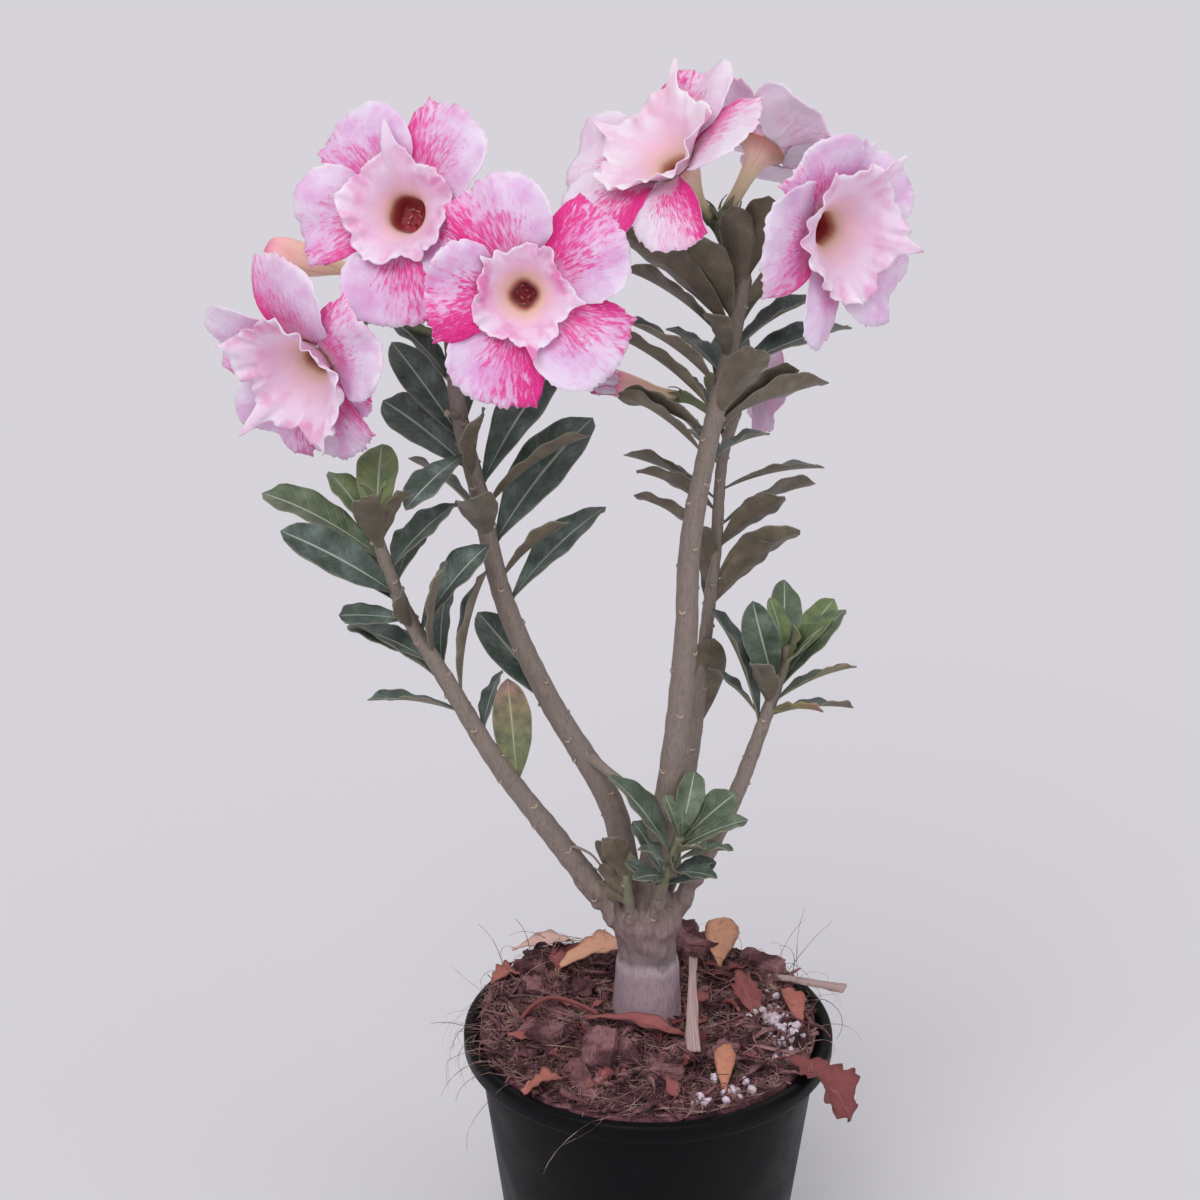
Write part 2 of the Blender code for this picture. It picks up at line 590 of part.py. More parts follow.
def growing_medium():
    """The coir mix that fills the pot, with chips in its surface and a hole that the caudex stands in."""
    floor, knee = POT_WALL + FIT, POT_HEIGHT - SOIL_KNEE
    flat = math.cos(math.pi / POT_SIDES)
    edge_radius = inside_radius(knee) * flat - 2 * FIT
    profile = [(0, floor), (inside_radius(floor) * flat - FIT, floor), (edge_radius, knee)]
    profile += [(edge_radius * (1 - k / SOIL_RINGS), SOIL_EDGE) for k in range(SOIL_RINGS + 1)]
    bm = turned(profile, SOIL_SIDES)
    for vert in bm.verts:
        if vert.co.z > knee + 1:
            vert.co.z = soil_height(vert.co.x, vert.co.y)
    body = add_object("growing_medium", bm, "growing_medium")
    draw = random.Random(SEED)
    chips = []
    for k in range(CHIP_COUNT):
        turn, away = draw.uniform(0, math.tau), draw.uniform(*CHIP_CIRCLE)
        x, y = away * math.cos(turn), away * math.sin(turn)
        size = [draw.uniform(*limits) for limits in CHIP_SIZES]
        spin = Matrix.Rotation(draw.uniform(0, math.pi), 4, "Z")
        spin @= Matrix.Rotation(draw.uniform(-0.35, 0.35), 4, "X")
        bm = bmesh.new()
        bmesh.ops.create_cube(bm, size=1, matrix=spin @ Matrix.Diagonal((*size, 1)))
        bmesh.ops.translate(bm, verts=bm.verts, vec=(x, y, soil_height(x, y) - CHIP_SUNK))
        chips.append(add_object(f"chip_{k}", bm, "growing_medium"))
    fused(body, chips)
    # The hole follows the root up to the mix's surface, then goes straight up past the highest chip.
    root = [point for point in CAUDEX if 0 < point[0] and point[1] <= SOIL_CROWN]
    hole = [(0, CAUDEX[0][1] - 1)]
    hole += [(radius + FIT + 0.1, height) for radius, height in root]
    hole += [(root[-1][0] + FIT + 0.6, SOIL_CROWN + 12), (0, SOIL_CROWN + 12)]
    return cut(body, add_object("caudex_cutter", turned(hole, CAUDEX_SIDES, TRUNK_FOOT), "growing_medium"))


def branch_path(name):
    return smooth_path(BRANCHES[name]["points"], BRANCH_STEP)


def branch_radius(name, share):
    first, last = BRANCHES[name]["radii"]
    return first + (last - first) * share


def wood():
    """The caudex with its graft ring, and the bare feet of the branches, grown as one piece."""
    body = add_object("caudex_and_branches", turned(CAUDEX, CAUDEX_SIDES, TRUNK_FOOT), "bark")
    bare = []
    for name, branch in BRANCHES.items():
        bare_path = stretch_of(branch_path(name), 0, branch["leafy_from"])
        radii = tapered(bare_path, (branch_radius(name, 0), branch_radius(name, branch["leafy_from"])))
        bare.append(rod(f"{name}_bare", bare_path, radii, "bark", 2))
    return fused(body, bare)


def leafy_shoot(name):
    """The leafy length of one branch, with its leaves and the stalks of its flowers fused to it."""
    branch = BRANCHES[name]
    path = branch_path(name)
    start = branch["leafy_from"]
    gap = FIT / sum((b - a).length for a, b in zip(path, path[1:]))
    stem_path = stretch_of(path, start + gap, 1)
    radii = tapered(stem_path, (branch_radius(name, start), branch["radii"][1]))
    stem = rod(f"leafy_shoot_{name}", stem_path, radii, "leaf")
    pieces = []
    for k, (share, heading, rise, length) in enumerate(LEAVES[name]):
        pith, up_stem = share_of(path, share)
        along = facing(heading, rise)
        foot = pith + along * branch_radius(name, share) * LEAF_SUNK
        upper = up_stem if abs(up_stem.dot(along)) < 0.97 else Vector((-along.y, along.x, 0.5))
        width_share = LEAF_WIDTH_SHARE * (1 + LEAF_WIDTH_SPREAD * math.sin(5 * k))
        blade = leaf(
            f"{name}_leaf_{k}", foot, along, upper, length, LEAF_BEND, width_share, "leaf", LEAF_THICKNESS
        )
        pieces.append(blade)
    stalk_start = path[-1].lerp(path[-2], 0.4)
    for flower_name, spec in {**BLOOMS, **BUDS}.items():
        if spec["stem"] == name:
            pieces.append(pedicel(f"{flower_name}_stalk", stalk_start, spec))
    return fused(stem, pieces)


def lowered(obj, ground):
    """Lets a piece down onto the ground until it is the fitting gap above it."""
    bpy.context.view_layer.update()
    place = obj.matrix_world
    own = BVHTree.FromPolygons(
        [place @ v.co for v in obj.data.vertices], [list(p.vertices) for p in obj.data.polygons]
    )
    gaps = []
    for vert in obj.data.vertices:
        point = place @ vert.co
        hit = ground.ray_cast(point + Vector((0, 0, 0.1)), Vector((0, 0, -1)))
        if hit[0]:
            gaps.append(point.z - hit[0].z)
    for point in ground_points(ground, place @ Vector((0, 0, 0))):
        hit = own.ray_cast(point - Vector((0, 0, 0.1)), Vector((0, 0, 1)))
        if hit[0]:
            gaps.append(hit[0].z - point.z)
    obj.location.z -= min(gaps) - FIT * MM
    return obj


def ground_points(ground, centre):
    """Points of the ground on a fine grid round a place."""
    reach, step = 30, 1.5
    count = int(reach / step)
    for i in range(-count, count + 1):
        for j in range(-count, count + 1):
            above = Vector((centre.x + i * step * MM, centre.y + j * step * MM, 0.3))
            hit = ground.ray_cast(above, Vector((0, 0, -1)))
            if hit[0]:
                yield hit[0]


def fallen_leaf(name, place, heading, length, width, curl):
    """A dead leaf, curled lengthways, that rests on the mix."""
    along = facing(heading, 0)
    foot = -along * length / 2
    obj = leaf(
        name, foot, along, Vector((0, 0, 1)), length, curl, width / length, "dead_leaf", FALLEN_LEAF_THICKNESS
    )
    obj.location = (place[0] * MM, place[1] * MM, DROP_HEIGHT * MM)
    return obj


def bark_strip(name, place, heading, tilt, length, width, thickness):
    """A split strip of old wood, narrower at one end."""
    bm = bmesh.new()
    bmesh.ops.create_cube(bm, size=1, matrix=Matrix.Diagonal((length, width, thickness, 1)))
    for vert in bm.verts:
        if vert.co.x > 0:
            vert.co.y *= STRIP_TAPER
    obj = add_object(name, bm, "dry_wood")
    obj.rotation_euler = (0, math.radians(tilt), math.radians(heading))
    obj.location = (place[0] * MM, place[1] * MM, DROP_HEIGHT * MM)
    return obj


def main():
    for obj in list(bpy.data.objects):
        bpy.data.objects.remove(obj)
    plant = bpy.data.objects.new("plant", None)
    bpy.context.scene.collection.objects.link(plant)
    shell = pot()
    medium = growing_medium()
    faces, points = [], []
    for obj in (shell, medium):
        faces += [[v + len(points) for v in face.vertices] for face in obj.data.polygons]
        points += [v.co for v in obj.data.vertices]
    ground = BVHTree.FromPolygons(points, faces)
    grown = [wood()]
    grown += [leafy_shoot(name) for name in BRANCHES]
    grown += [bloom(name, spec) for name, spec in BLOOMS.items()]
    grown.append(half_open_bud("half_open_bud", BUDS["half_open_bud"]))
    grown.append(closed_bud("closed_bud", BUDS["closed_bud"]))
    for obj in grown:
        obj.parent = plant
    for name, spec in FALLEN_LEAVES.items():
        lowered(fallen_leaf(name, *spec), ground)
    for name, spec in BARK_STRIPS.items():
        lowered(bark_strip(name, *spec), ground)


main()
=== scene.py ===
# Potted desert rose (adenium) with double flowers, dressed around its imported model.
# Lengths in this file are in millimetres, and finishPiece turns them to metres. +Z is up, and the plant is
# seen along +Y. Headings are degrees round Z from +X, so 270 faces the front. Rises are degrees above level.
import bmesh
import bpy
import json
import math
import random
from mathutils import Matrix, Vector, noise

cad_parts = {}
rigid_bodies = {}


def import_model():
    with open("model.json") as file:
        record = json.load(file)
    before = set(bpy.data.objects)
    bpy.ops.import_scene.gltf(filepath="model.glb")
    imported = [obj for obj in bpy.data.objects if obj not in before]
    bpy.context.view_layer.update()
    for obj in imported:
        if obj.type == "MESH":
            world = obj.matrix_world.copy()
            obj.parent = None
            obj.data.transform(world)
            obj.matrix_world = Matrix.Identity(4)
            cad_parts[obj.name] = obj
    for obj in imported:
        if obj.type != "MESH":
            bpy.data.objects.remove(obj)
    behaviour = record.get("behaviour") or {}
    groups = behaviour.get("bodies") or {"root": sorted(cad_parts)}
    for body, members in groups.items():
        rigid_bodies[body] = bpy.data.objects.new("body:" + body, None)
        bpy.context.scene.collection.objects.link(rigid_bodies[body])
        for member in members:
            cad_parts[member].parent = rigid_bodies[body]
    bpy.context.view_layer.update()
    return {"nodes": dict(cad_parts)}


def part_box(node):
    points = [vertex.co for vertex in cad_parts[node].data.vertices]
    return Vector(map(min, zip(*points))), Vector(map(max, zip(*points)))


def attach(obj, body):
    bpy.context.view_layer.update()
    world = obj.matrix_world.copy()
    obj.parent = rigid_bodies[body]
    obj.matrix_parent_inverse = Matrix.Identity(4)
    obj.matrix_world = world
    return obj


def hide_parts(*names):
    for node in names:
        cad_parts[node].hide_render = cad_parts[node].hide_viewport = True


for leftOver in list(bpy.data.objects):
    bpy.data.objects.remove(leftOver)
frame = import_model()
print("frame loaded with", len(frame["nodes"]), "nodes")

mm = 0.001
gap = 0.35  # between pieces that touch


# Helpers for materials

def linearColor(code):
    # an sRGB hex code as the linear colour that the nodes take
    shares = [int(code[k:k + 2], 16) / 255 for k in (1, 3, 5)]
    return [s / 12.92 if s <= 0.04045 else ((s + 0.055) / 1.055) ** 2.4 for s in shares] + [1]


def setInputs(tree, node, inputs):
    # each input takes a number, a hex colour, another node's output, or that node itself for its first output
    for key, value in inputs.items():
        socket = node.inputs[key]
        if isinstance(value, bpy.types.Node):
            value = value.outputs[0]
        if isinstance(value, bpy.types.NodeSocket):
            tree.links.new(value, socket)
        elif isinstance(value, str):
            socket.default_value = linearColor(value)
        else:
            socket.default_value = value


def addNode(tree, kind, inputs, stops=(), **settings):
    # adds a node with its settings and links; stops are the places and shades of a colour ramp
    node = tree.nodes.new("ShaderNode" + kind)
    for name, value in settings.items():
        setattr(node, name, value)
    setInputs(tree, node, inputs)
    for k, (place, shade) in enumerate(stops):
        ramp = node.color_ramp.elements
        if k == 0:
            ramp.remove(ramp[1])
        stop = ramp.new(place) if k else ramp[0]
        stop.position = place
        stop.color = linearColor(shade) if isinstance(shade, str) else (shade, shade, shade, 1)
    return node


def newMaterial(name):
    material = bpy.data.materials.new(name)
    material.use_nodes = True
    tree = material.node_tree
    return material, tree, tree.nodes["Principled BSDF"]


# Helpers for shapes

def facing(heading, rise):
    level = math.cos(math.radians(rise))
    turn = math.radians(heading)
    return Vector((level * math.cos(turn), level * math.sin(turn), math.sin(math.radians(rise))))


def between(a, b, c, d, t):
    # the point at a share t from b to c on the smooth curve through all four
    slope = c - a
    bend = 2 * a - 5 * b + 4 * c - d
    twist = 3 * b - a - 3 * c + d
    return b + 0.5 * (slope * t + bend * t**2 + twist * t**3)


def smoothPath(points, step):
    # points about a step apart on a smooth curve through the given ones
    points = [Vector(p) for p in points]
    ends = [points[0] * 2 - points[1], *points, points[-1] * 2 - points[-2]]
    path = []
    for a, b, c, d in zip(ends, ends[1:], ends[2:], ends[3:]):
        count = max(1, round((c - b).length / step))
        path += [between(a, b, c, d, k / count) for k in range(count)]
    return [*path, points[-1]]


def shareOf(path, share):
    # the point and the direction at a share of a path's length
    lengths = [(b - a).length for a, b in zip(path, path[1:])]
    left = share * sum(lengths)
    for a, b, length in zip(path, path[1:], lengths):
        if left <= length:
            return a.lerp(b, left / length), (b - a).normalized()
        left -= length
    return path[-1], (path[-1] - path[-2]).normalized()


def evenPath(path, start, end, count):
    # points at even shares of a path's length, from one share to another
    return [shareOf(path, start + (end - start) * k / (count - 1))[0] for k in range(count)]


def ease(low, high, value):
    # 0 below low, 1 above high, and a smooth step between
    t = min(1, max(0, (value - low) / (high - low)))
    return t * t * (3 - 2 * t)


def grain(place, size, layer=0):
    # smooth noise from about -1 to 1 with bumps of a size
    return noise.noise(Vector((place[0], place[1], place[2] + 97 * layer)) / size)


def newSheets():
    # an empty mesh for sheets and tubes, with a map of each surface and a record of its look
    bm = bmesh.new()
    bm.loops.layers.uv.new("surface")
    bm.verts.layers.float_color.new("look")
    return bm


def bendSheet(bm, cells, rule, thickness, look=(0.5, 0.5, 0), material=0):
    # Bends a flat grid by a rule from its shares across and along to a place, and gives it a thickness.
    # Without a thickness the rule closes the grid by itself, as a tube's does. The look's first number is 1
    # on the under side, and the other three are the ones given, or come from the same two shares.
    surface = bm.loops.layers.uv["surface"]
    looks = bm.verts.layers.float_color["look"]
    verts = bmesh.ops.create_grid(bm, x_segments=cells[0], y_segments=cells[1], size=0.5)["verts"]
    for face in dict.fromkeys(face for vert in verts for face in vert.link_faces):
        face.smooth = True
        face.material_index = material
        for loop in face.loops:
            loop[surface].uv = (loop.vert.co.x + 0.5, loop.vert.co.y + 0.5)
    for vert in verts:
        shares = vert.co.x + 0.5, vert.co.y + 0.5
        vert[looks] = (0, *(look(*shares) if callable(look) else look))
        vert.co = rule(*shares)
    bmesh.ops.remove_doubles(bm, verts=verts, dist=0.01)
    verts = [vert for vert in verts if vert.is_valid]
    faces = list(dict.fromkeys(face for vert in verts for face in vert.link_faces))
    if thickness is None:
        bmesh.ops.recalc_face_normals(bm, faces=faces)
        return verts
    for face in faces:
        face.normal_update()
    for vert in verts:
        vert.normal_update()
    inward = [vert.normal * -thickness for vert in verts]
    made = bmesh.ops.extrude_face_region(bm, geom=faces, use_keep_orig=True)["geom"]
    for vert, shift in zip(verts, inward):
        vert.co += shift
        vert[looks] = (1, *vert[looks][1:])
    return verts + [item for item in made if isinstance(item, bmesh.types.BMVert)]


def rollTube(bm, path, radii, sides, look=(0.5, 0.5, 0), material=0, relief=None):
    # a round stem along a path with closed ends; relief adds to the radius at a turn and a place on the path
    ways = [(b - a).normalized() for a, b in zip([path[0], *path], [*path[1:], path[-1]])]
    ways[0] = (path[1] - path[0]).normalized()
    side = ways[0].orthogonal().normalized()
    frames = []
    for way in ways:
        side = (side - way * side.dot(way)).normalized()
        frames.append((side, way.cross(side)))
    rows = [0, *range(len(path)), len(path) - 1]

    def rule(u, v):
        row = round(v * (len(rows) - 1))
        k = rows[row]
        if row in (0, len(rows) - 1):
            return path[k]
        turn = math.tau * round(u * sides) / sides
        radius = radii[k] + (relief(turn, path[k]) if relief else 0)
        return path[k] + (frames[k][0] * math.cos(turn) + frames[k][1] * math.sin(turn)) * radius

    return bendSheet(bm, (sides, len(rows) - 1), rule, None, look, material)


def finishPiece(name, bm, materials, nodes=()):
    # the piece in metres, riding on the plant and standing for the nodes named
    bmesh.ops.scale(bm, verts=bm.verts, vec=(mm, mm, mm))
    mesh = bpy.data.meshes.new(name)
    bm.to_mesh(mesh)
    bm.free()
    mesh.shade_smooth()
    for material in materials:
        mesh.materials.append(material)
    piece = bpy.data.objects.new(name, mesh)
    bpy.context.scene.collection.objects.link(piece)
    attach(piece, "root")
    if nodes:
        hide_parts(*nodes)
    return piece


def bakeModifier(piece, kind, **settings):
    # applies one modifier to a piece's mesh
    modifier = piece.modifiers.new(kind, kind)
    for name, value in settings.items():
        setattr(modifier, name, value)
    bpy.context.view_layer.update()
    graph = bpy.context.evaluated_depsgraph_get()
    mesh = bpy.data.meshes.new_from_object(piece.evaluated_get(graph))
    piece.modifiers.clear()
    piece.data = mesh


# Camera, floor and light

studio = {
    "cameraPlace": (0, -800, 610.7),
    "cameraPitch": 20.353,  # degrees down
    "cameraTurn": 1.4,  # degrees to the left
    "lens": 67.5,
    "floorSize": 40000,
    "floorColor": "#D9D7DB",
    "worldColor": "#E4E3E8",
    "worldStrength": 0.6,
    # heading and rise from the plant, angle across and strength of each soft light
    "lights": {"key": (246, 46, 40, 1.35), "fill": (312, 26, 70, 0.6), "back": (80, 55, 60, 0.4)},
}


def makeStudio():
    scene = bpy.context.scene
    camera = bpy.data.objects.new("camera", bpy.data.cameras.new("camera"))
    camera.data.lens = studio["lens"]
    camera.data.sensor_width = 36
    camera.data.clip_end = 100
    camera.location = Vector(studio["cameraPlace"]) * mm
    camera.rotation_euler = (
        math.radians(90 - studio["cameraPitch"]), 0, math.radians(studio["cameraTurn"])
    )
    scene.collection.objects.link(camera)
    scene.camera = camera
    scene.view_settings.view_transform = "Standard"

    for name, (heading, rise, angle, strength) in studio["lights"].items():
        light = bpy.data.lights.new(name, "SUN")
        light.angle = math.radians(angle)
        light.energy = strength
        lamp = bpy.data.objects.new(name, light)
        lamp.location = facing(heading, rise) * 2
        lamp.rotation_euler = facing(heading, rise).to_track_quat("Z", "Y").to_euler()
        scene.collection.objects.link(lamp)

    world = bpy.data.worlds.new("studio")
    world.use_nodes = True
    background = world.node_tree.nodes["Background"]
    background.inputs["Color"].default_value = linearColor(studio["worldColor"])
    background.inputs["Strength"].default_value = studio["worldStrength"]
    scene.world = world

    bm = bmesh.new()
    bmesh.ops.create_grid(bm, x_segments=1, y_segments=1, size=studio["floorSize"] * mm / 2)
    mesh = bpy.data.meshes.new("floor")
    bm.to_mesh(mesh)
    bm.free()
    floorMaterial, tree, shader = newMaterial("matt paper floor")
    setInputs(tree, shader, {"Base Color": studio["floorColor"], "Roughness": 0.9})
    mesh.materials.append(floorMaterial)
    floor = bpy.data.objects.new("floor", mesh)
    scene.collection.objects.link(floor)


makeStudio()
print("studio ready")


# Pot

pot = {
    # radius and height, up the outside, over the rolled lip and down the inside
    "outside": [(0, 0.6), (30, 0.6), (48, 0.6), (50.5, 0), (53, 0), (54, 1)],
    "ridges": [(68.6, 118.6), (69, 121), (72.5, 121.8), (74.4, 122.3), (75, 123.2)],
    "lip": [(75, 127.8), (74.7, 129.2), (73.6, 130), (72, 130), (70.6, 129.4), (69.2, 127.6)],
    "inside": [(67.6, 125.6), (66.9, 121.8), (52.2, 1.8), (0, 1.8)],
    "sides": 128,
    "drainCount": 6,
    "drainRadius": 4.5,
    "drainCircle": 36,
}


def makePotMaterial():
    # Injection-moulded black polypropylene: a satin skin with a faint flow mottle, dulled in places by dust.
    material, tree, shader = newMaterial("moulded black polypropylene")
    place = addNode(tree, "TexCoord", {}).outputs["Object"]
    dust = addNode(tree, "TexNoise", {"Vector": place, "Scale": 45, "Detail": 5, "Roughness": 0.6})  # 20 mm
    skin = addNode(
        tree, "TexNoise", {"Vector": place, "Scale": 2200, "Detail": 2}
    )  # a 0.5 mm moulded grain
    color = addNode(
        tree, "ValToRGB", {"Fac": dust}, stops=[(0.4, "#040406"), (0.62, "#08080B"), (0.8, "#151416")]
    )
    rough = addNode(
        tree, "MapRange", {"Value": dust, "From Min": 0.3, "From Max": 0.75, "To Min": 0.4, "To Max": 0.62}
    )
    bump = addNode(tree, "Bump", {"Height": skin, "Strength": 0.12, "Distance": 0.0003})
    setInputs(tree, shader, {
        "Base Color": color,
        "Roughness": rough,
        "IOR": 1.49,
        "Specular IOR Level": 0.12,
        "Normal": bump,
    })
    return material


def makePot():
    bm = bmesh.new()
    profile = pot["outside"] + pot["ridges"] + pot["lip"] + pot["inside"]
    verts = [bm.verts.new((radius, 0, height)) for radius, height in profile]
    edges = [bm.edges.new(pair) for pair in zip(verts, verts[1:])]
    bmesh.ops.spin(
        bm, geom=verts + edges, axis=(0, 0, 1), cent=(0, 0, 0), angle=math.tau, steps=pot["sides"],
        use_merge=True
    )
    bmesh.ops.remove_doubles(bm, verts=bm.verts, dist=0.001)
    bmesh.ops.recalc_face_normals(bm, faces=bm.faces)
    piece = finishPiece("nurseryPot", bm, [makePotMaterial()], ["pot"])
    holes = bmesh.new()
    for k in range(pot["drainCount"]):
        turn = math.tau * (k + 0.5) / pot["drainCount"]
        place = Vector((math.cos(turn), math.sin(turn), 0)) * pot["drainCircle"]
        bmesh.ops.create_cone(
            holes, cap_ends=True, segments=24, depth=8,
            radius1=pot["drainRadius"], radius2=pot["drainRadius"], matrix=Matrix.Translation(place)
        )
    bmesh.ops.scale(holes, verts=holes.verts, vec=(mm, mm, mm))
    cutter = bpy.data.objects.new("drainCutter", bpy.data.meshes.new("drainCutter"))
    holes.to_mesh(cutter.data)
    holes.free()
    bpy.context.scene.collection.objects.link(cutter)
    bakeModifier(piece, "BOOLEAN", operation="DIFFERENCE", object=cutter, solver="EXACT")
    bpy.data.objects.remove(cutter)
    piece.data.set_sharp_from_angle(angle=math.radians(50))


makePot()
print("pot made")


# Coir and bark mix

mix = {
    "edgeHeight": 127,
    "crownHeight": 131,
    "relief": 2.4,
    "lumpSpacing": 11,
    "clodSpacing": 5,
    "edgeRadius": 68.2,
    "domeRadius": 70,
    "edgeRise": 2,  # how much higher than its mound the mix stands at the rim
    "crumbSize": 1.9,
    "crumbRelief": 0.8,
    "sides": 200,
    "rings": 60,
    "chipSeed": 11,  # this seed, the draws and their order are those of the model's own chips
    "chipCount": 10,
    "chipCircle": (26, 54),
    "chipSizes": [(9, 17), (6, 10), (4, 7)],  # least and most length, width and thickness
    "chipSunk": 0.6,
    "chipCuts": 4,  # how finely a chip's faces are divided
    "huskRaised": 0.2,  # as a share of its thickness
    "huskCuts": 14,
    # large pieces of husk that lie on top: place, heading, tilt and size
    "husks": [
        ((-19, -30), 82, -20, (20, 13, 9)), ((22, 50), 25, 12, (22, 12, 12)),
        ((12, 59), 350, -10, (18, 12, 10)), ((-43, -12), 150, 10, (18, 12, 7)),
        ((-26, 25), 75, 30, (15, 9, 7)), ((48, 42), 335, 6, (20, 9, 6)),
        ((-25, -47), 112, -14, (21, 7, 5)), ((-9, -57), 12, -8, (14, 5, 4)),
        ((-50, 34), 30, 14, (13, 8, 6)), ((31, -22), 60, 12, (13, 8, 6)),
        ((-48, 22), 100, 8, (13, 8, 6)), ((8, -38), 165, 10, (13, 7, 5)),
    ],
    # where the mix is heaped above its mound: place, reach and height
    "heaps": [
        (-48, 46, 19, 8), (12, 54, 17, 8), (46, 42, 14, 5), (-60, 12, 15, 6), (-20, -28, 13, 3),
        (58, -4, 12, 2),
    ],
    "under": [(66.3, 122), (53, 3), (0, 2.2)],  # radius and height, from below the edge to the middle
}
hiddenByTrunk = 14  # radius about the trunk in which nothing loose is laid
trunkFoot = Vector((-0.5, 8, 0))
rimInside, rimOutside = 68, 76  # from the pot's axis, for what lies over the lip
overRim = 130.5


def heapHeight(x, y):
    # how far the heaps and the raised edge lift the mix above its mound
    height = mix["edgeRise"] * min(1, math.hypot(x, y) / mix["domeRadius"]) ** 4
    for heapX, heapY, reach, tall in mix["heaps"]:
        height += tall * math.exp(-((x - heapX) ** 2 + (y - heapY) ** 2) / reach**2)
    return height


def mixHeight(x, y):
    away = min(1, math.hypot(x, y) / mix["domeRadius"])
    mound = mix["edgeHeight"] + (mix["crownHeight"] - mix["edgeHeight"]) * (1 - away**2) + heapHeight(x, y)
    lumps = grain((x, y, 3), mix["lumpSpacing"])
    lumps += 0.6 * grain((x, y, 9), mix["clodSpacing"])
    return mound + mix["relief"] * lumps * min(1, 4 * (1 - away) + 0.25)


def makeMixMaterial():
    # Shredded coir and composted bark: rough and matt, reddish brown, with paler torn faces and dark crumbs.
    # Its darkest crumbs and darker patches are partly painted shade, for the shadows among the fibres, and
    # the dark lines between its threads are painted shade.
    material, tree, shader = newMaterial("shredded coir and bark")
    place = addNode(tree, "TexCoord", {}).outputs["Object"]
    record = addNode(tree, "Attribute", {}, attribute_name="look")
    look = addNode(tree, "SeparateColor", {"Color": record})
    lumps = addNode(
        tree, "TexNoise", {"Vector": place, "Scale": 220, "Detail": 4, "Roughness": 0.65}
    )  # 4.5 mm
    stretch = addNode(tree, "Mapping", {"Vector": place, "Scale": (1, 0.25, 0.6), "Rotation": (0, 0, 0.7)})
    threads = addNode(
        tree, "TexNoise", {"Vector": stretch, "Scale": 1400, "Detail": 3, "Roughness": 0.6}
    )  # 0.7 mm threads
    base = addNode(
        # the darkest stops are partly painted shade, in the tone of the shadows among the fibres
        tree, "ValToRGB", {"Fac": lumps},
        stops=[(0.28, "#21131A"), (0.42, "#4B2C36"), (0.55, "#744853"), (0.68, "#93626C"),
               (0.82, "#AE7F86")]
    )
    toned = addNode(tree, "MixRGB", {"Fac": look.outputs["Green"], "Color1": base, "Color2": "#B38484"})
    # painted shade: darker in the hollows between the threads of the bump
    shadeBetweenThreads = addNode(tree, "ValToRGB", {"Fac": threads}, stops=[(0.3, 0.45), (0.5, 1.0), (0.7, 1.0)])
    # darker 13 mm patches: partly a tone that differs at random, partly painted shade for the shadows among
    # the fibres
    darkPatches = addNode(tree, "TexNoise", {"Vector": place, "Scale": 75, "Detail": 2})  # 13 mm patches
    darkPatchTone = addNode(tree, "ValToRGB", {"Fac": darkPatches}, stops=[(0.38, "#8A7C86"), (0.56, "#FFFFFF")])
    patchDarkened = addNode(
        tree, "MixRGB", {"Fac": 0.9, "Color1": toned, "Color2": darkPatchTone}, blend_type="MULTIPLY"
    )
    color = addNode(
        tree, "MixRGB", {"Fac": 1, "Color1": patchDarkened, "Color2": shadeBetweenThreads}, blend_type="MULTIPLY"
    )
    bump = addNode(tree, "Bump", {"Height": threads, "Strength": 0.9, "Distance": 0.0009})
    setInputs(tree, shader, {
        "Base Color": color,
        "Roughness": 0.92,
        "Specular IOR Level": 0.25,
        "Normal": bump,
    })
    return material


mixMaterial = makeMixMaterial()


def makeMixBed():
    bm = newSheets()
    rows = mix["rings"] + len(mix["under"])

    def rule(u, v):
        turn = math.tau * round(u * mix["sides"]) / mix["sides"]
        row = round(v * rows)
        if row > mix["rings"]:
            radius, height = mix["under"][row - mix["rings"] - 1]
            return Vector((radius * math.cos(turn), radius * math.sin(turn), height))
        radius = mix["edgeRadius"] * row / mix["rings"]
        x, y = radius * math.cos(turn), radius * math.sin(turn)
        crumbs = grain((x, y, 0), mix["crumbSize"], 1) + grain((x, y, 0), mix["crumbSize"] * 2.3, 2)
        return Vector((x, y, mixHeight(x, y) + mix["crumbRelief"] * crumbs - 0.4))

    bendSheet(bm, (mix["sides"], rows), rule, None, (0.1, 0.5, 0))
    draw = random.Random(mix["chipSeed"])
    for k in range(mix["chipCount"]):
        turn, away = draw.uniform(0, math.tau), draw.uniform(*mix["chipCircle"])
        x, y = away * math.cos(turn), away * math.sin(turn)
        size = [draw.uniform(*limits) for limits in mix["chipSizes"]]
        spin = Matrix.Rotation(draw.uniform(0, math.pi), 4, "Z")
        spin @= Matrix.Rotation(draw.uniform(-0.35, 0.35), 4, "X")
        place = Matrix.Translation((x, y, mixHeight(x, y) - mix["chipSunk"])) @ spin
        addChunk(bm, place, size, k, mix["chipCuts"])
    for k, ((x, y), heading, tilt, size) in enumerate(mix["husks"]):
        spin = Matrix.Rotation(math.radians(heading), 4, "Z") @ Matrix.Rotation(math.radians(tilt), 4, "Y")
        place = Matrix.Translation((x, y, mixHeight(x, y) + mix["huskRaised"] * size[2])) @ spin
        addChunk(bm, place, size, 0.35 + 0.9 * k, mix["huskCuts"])
    finishPiece("mixBed", bm, [mixMaterial], ["growing_medium"])


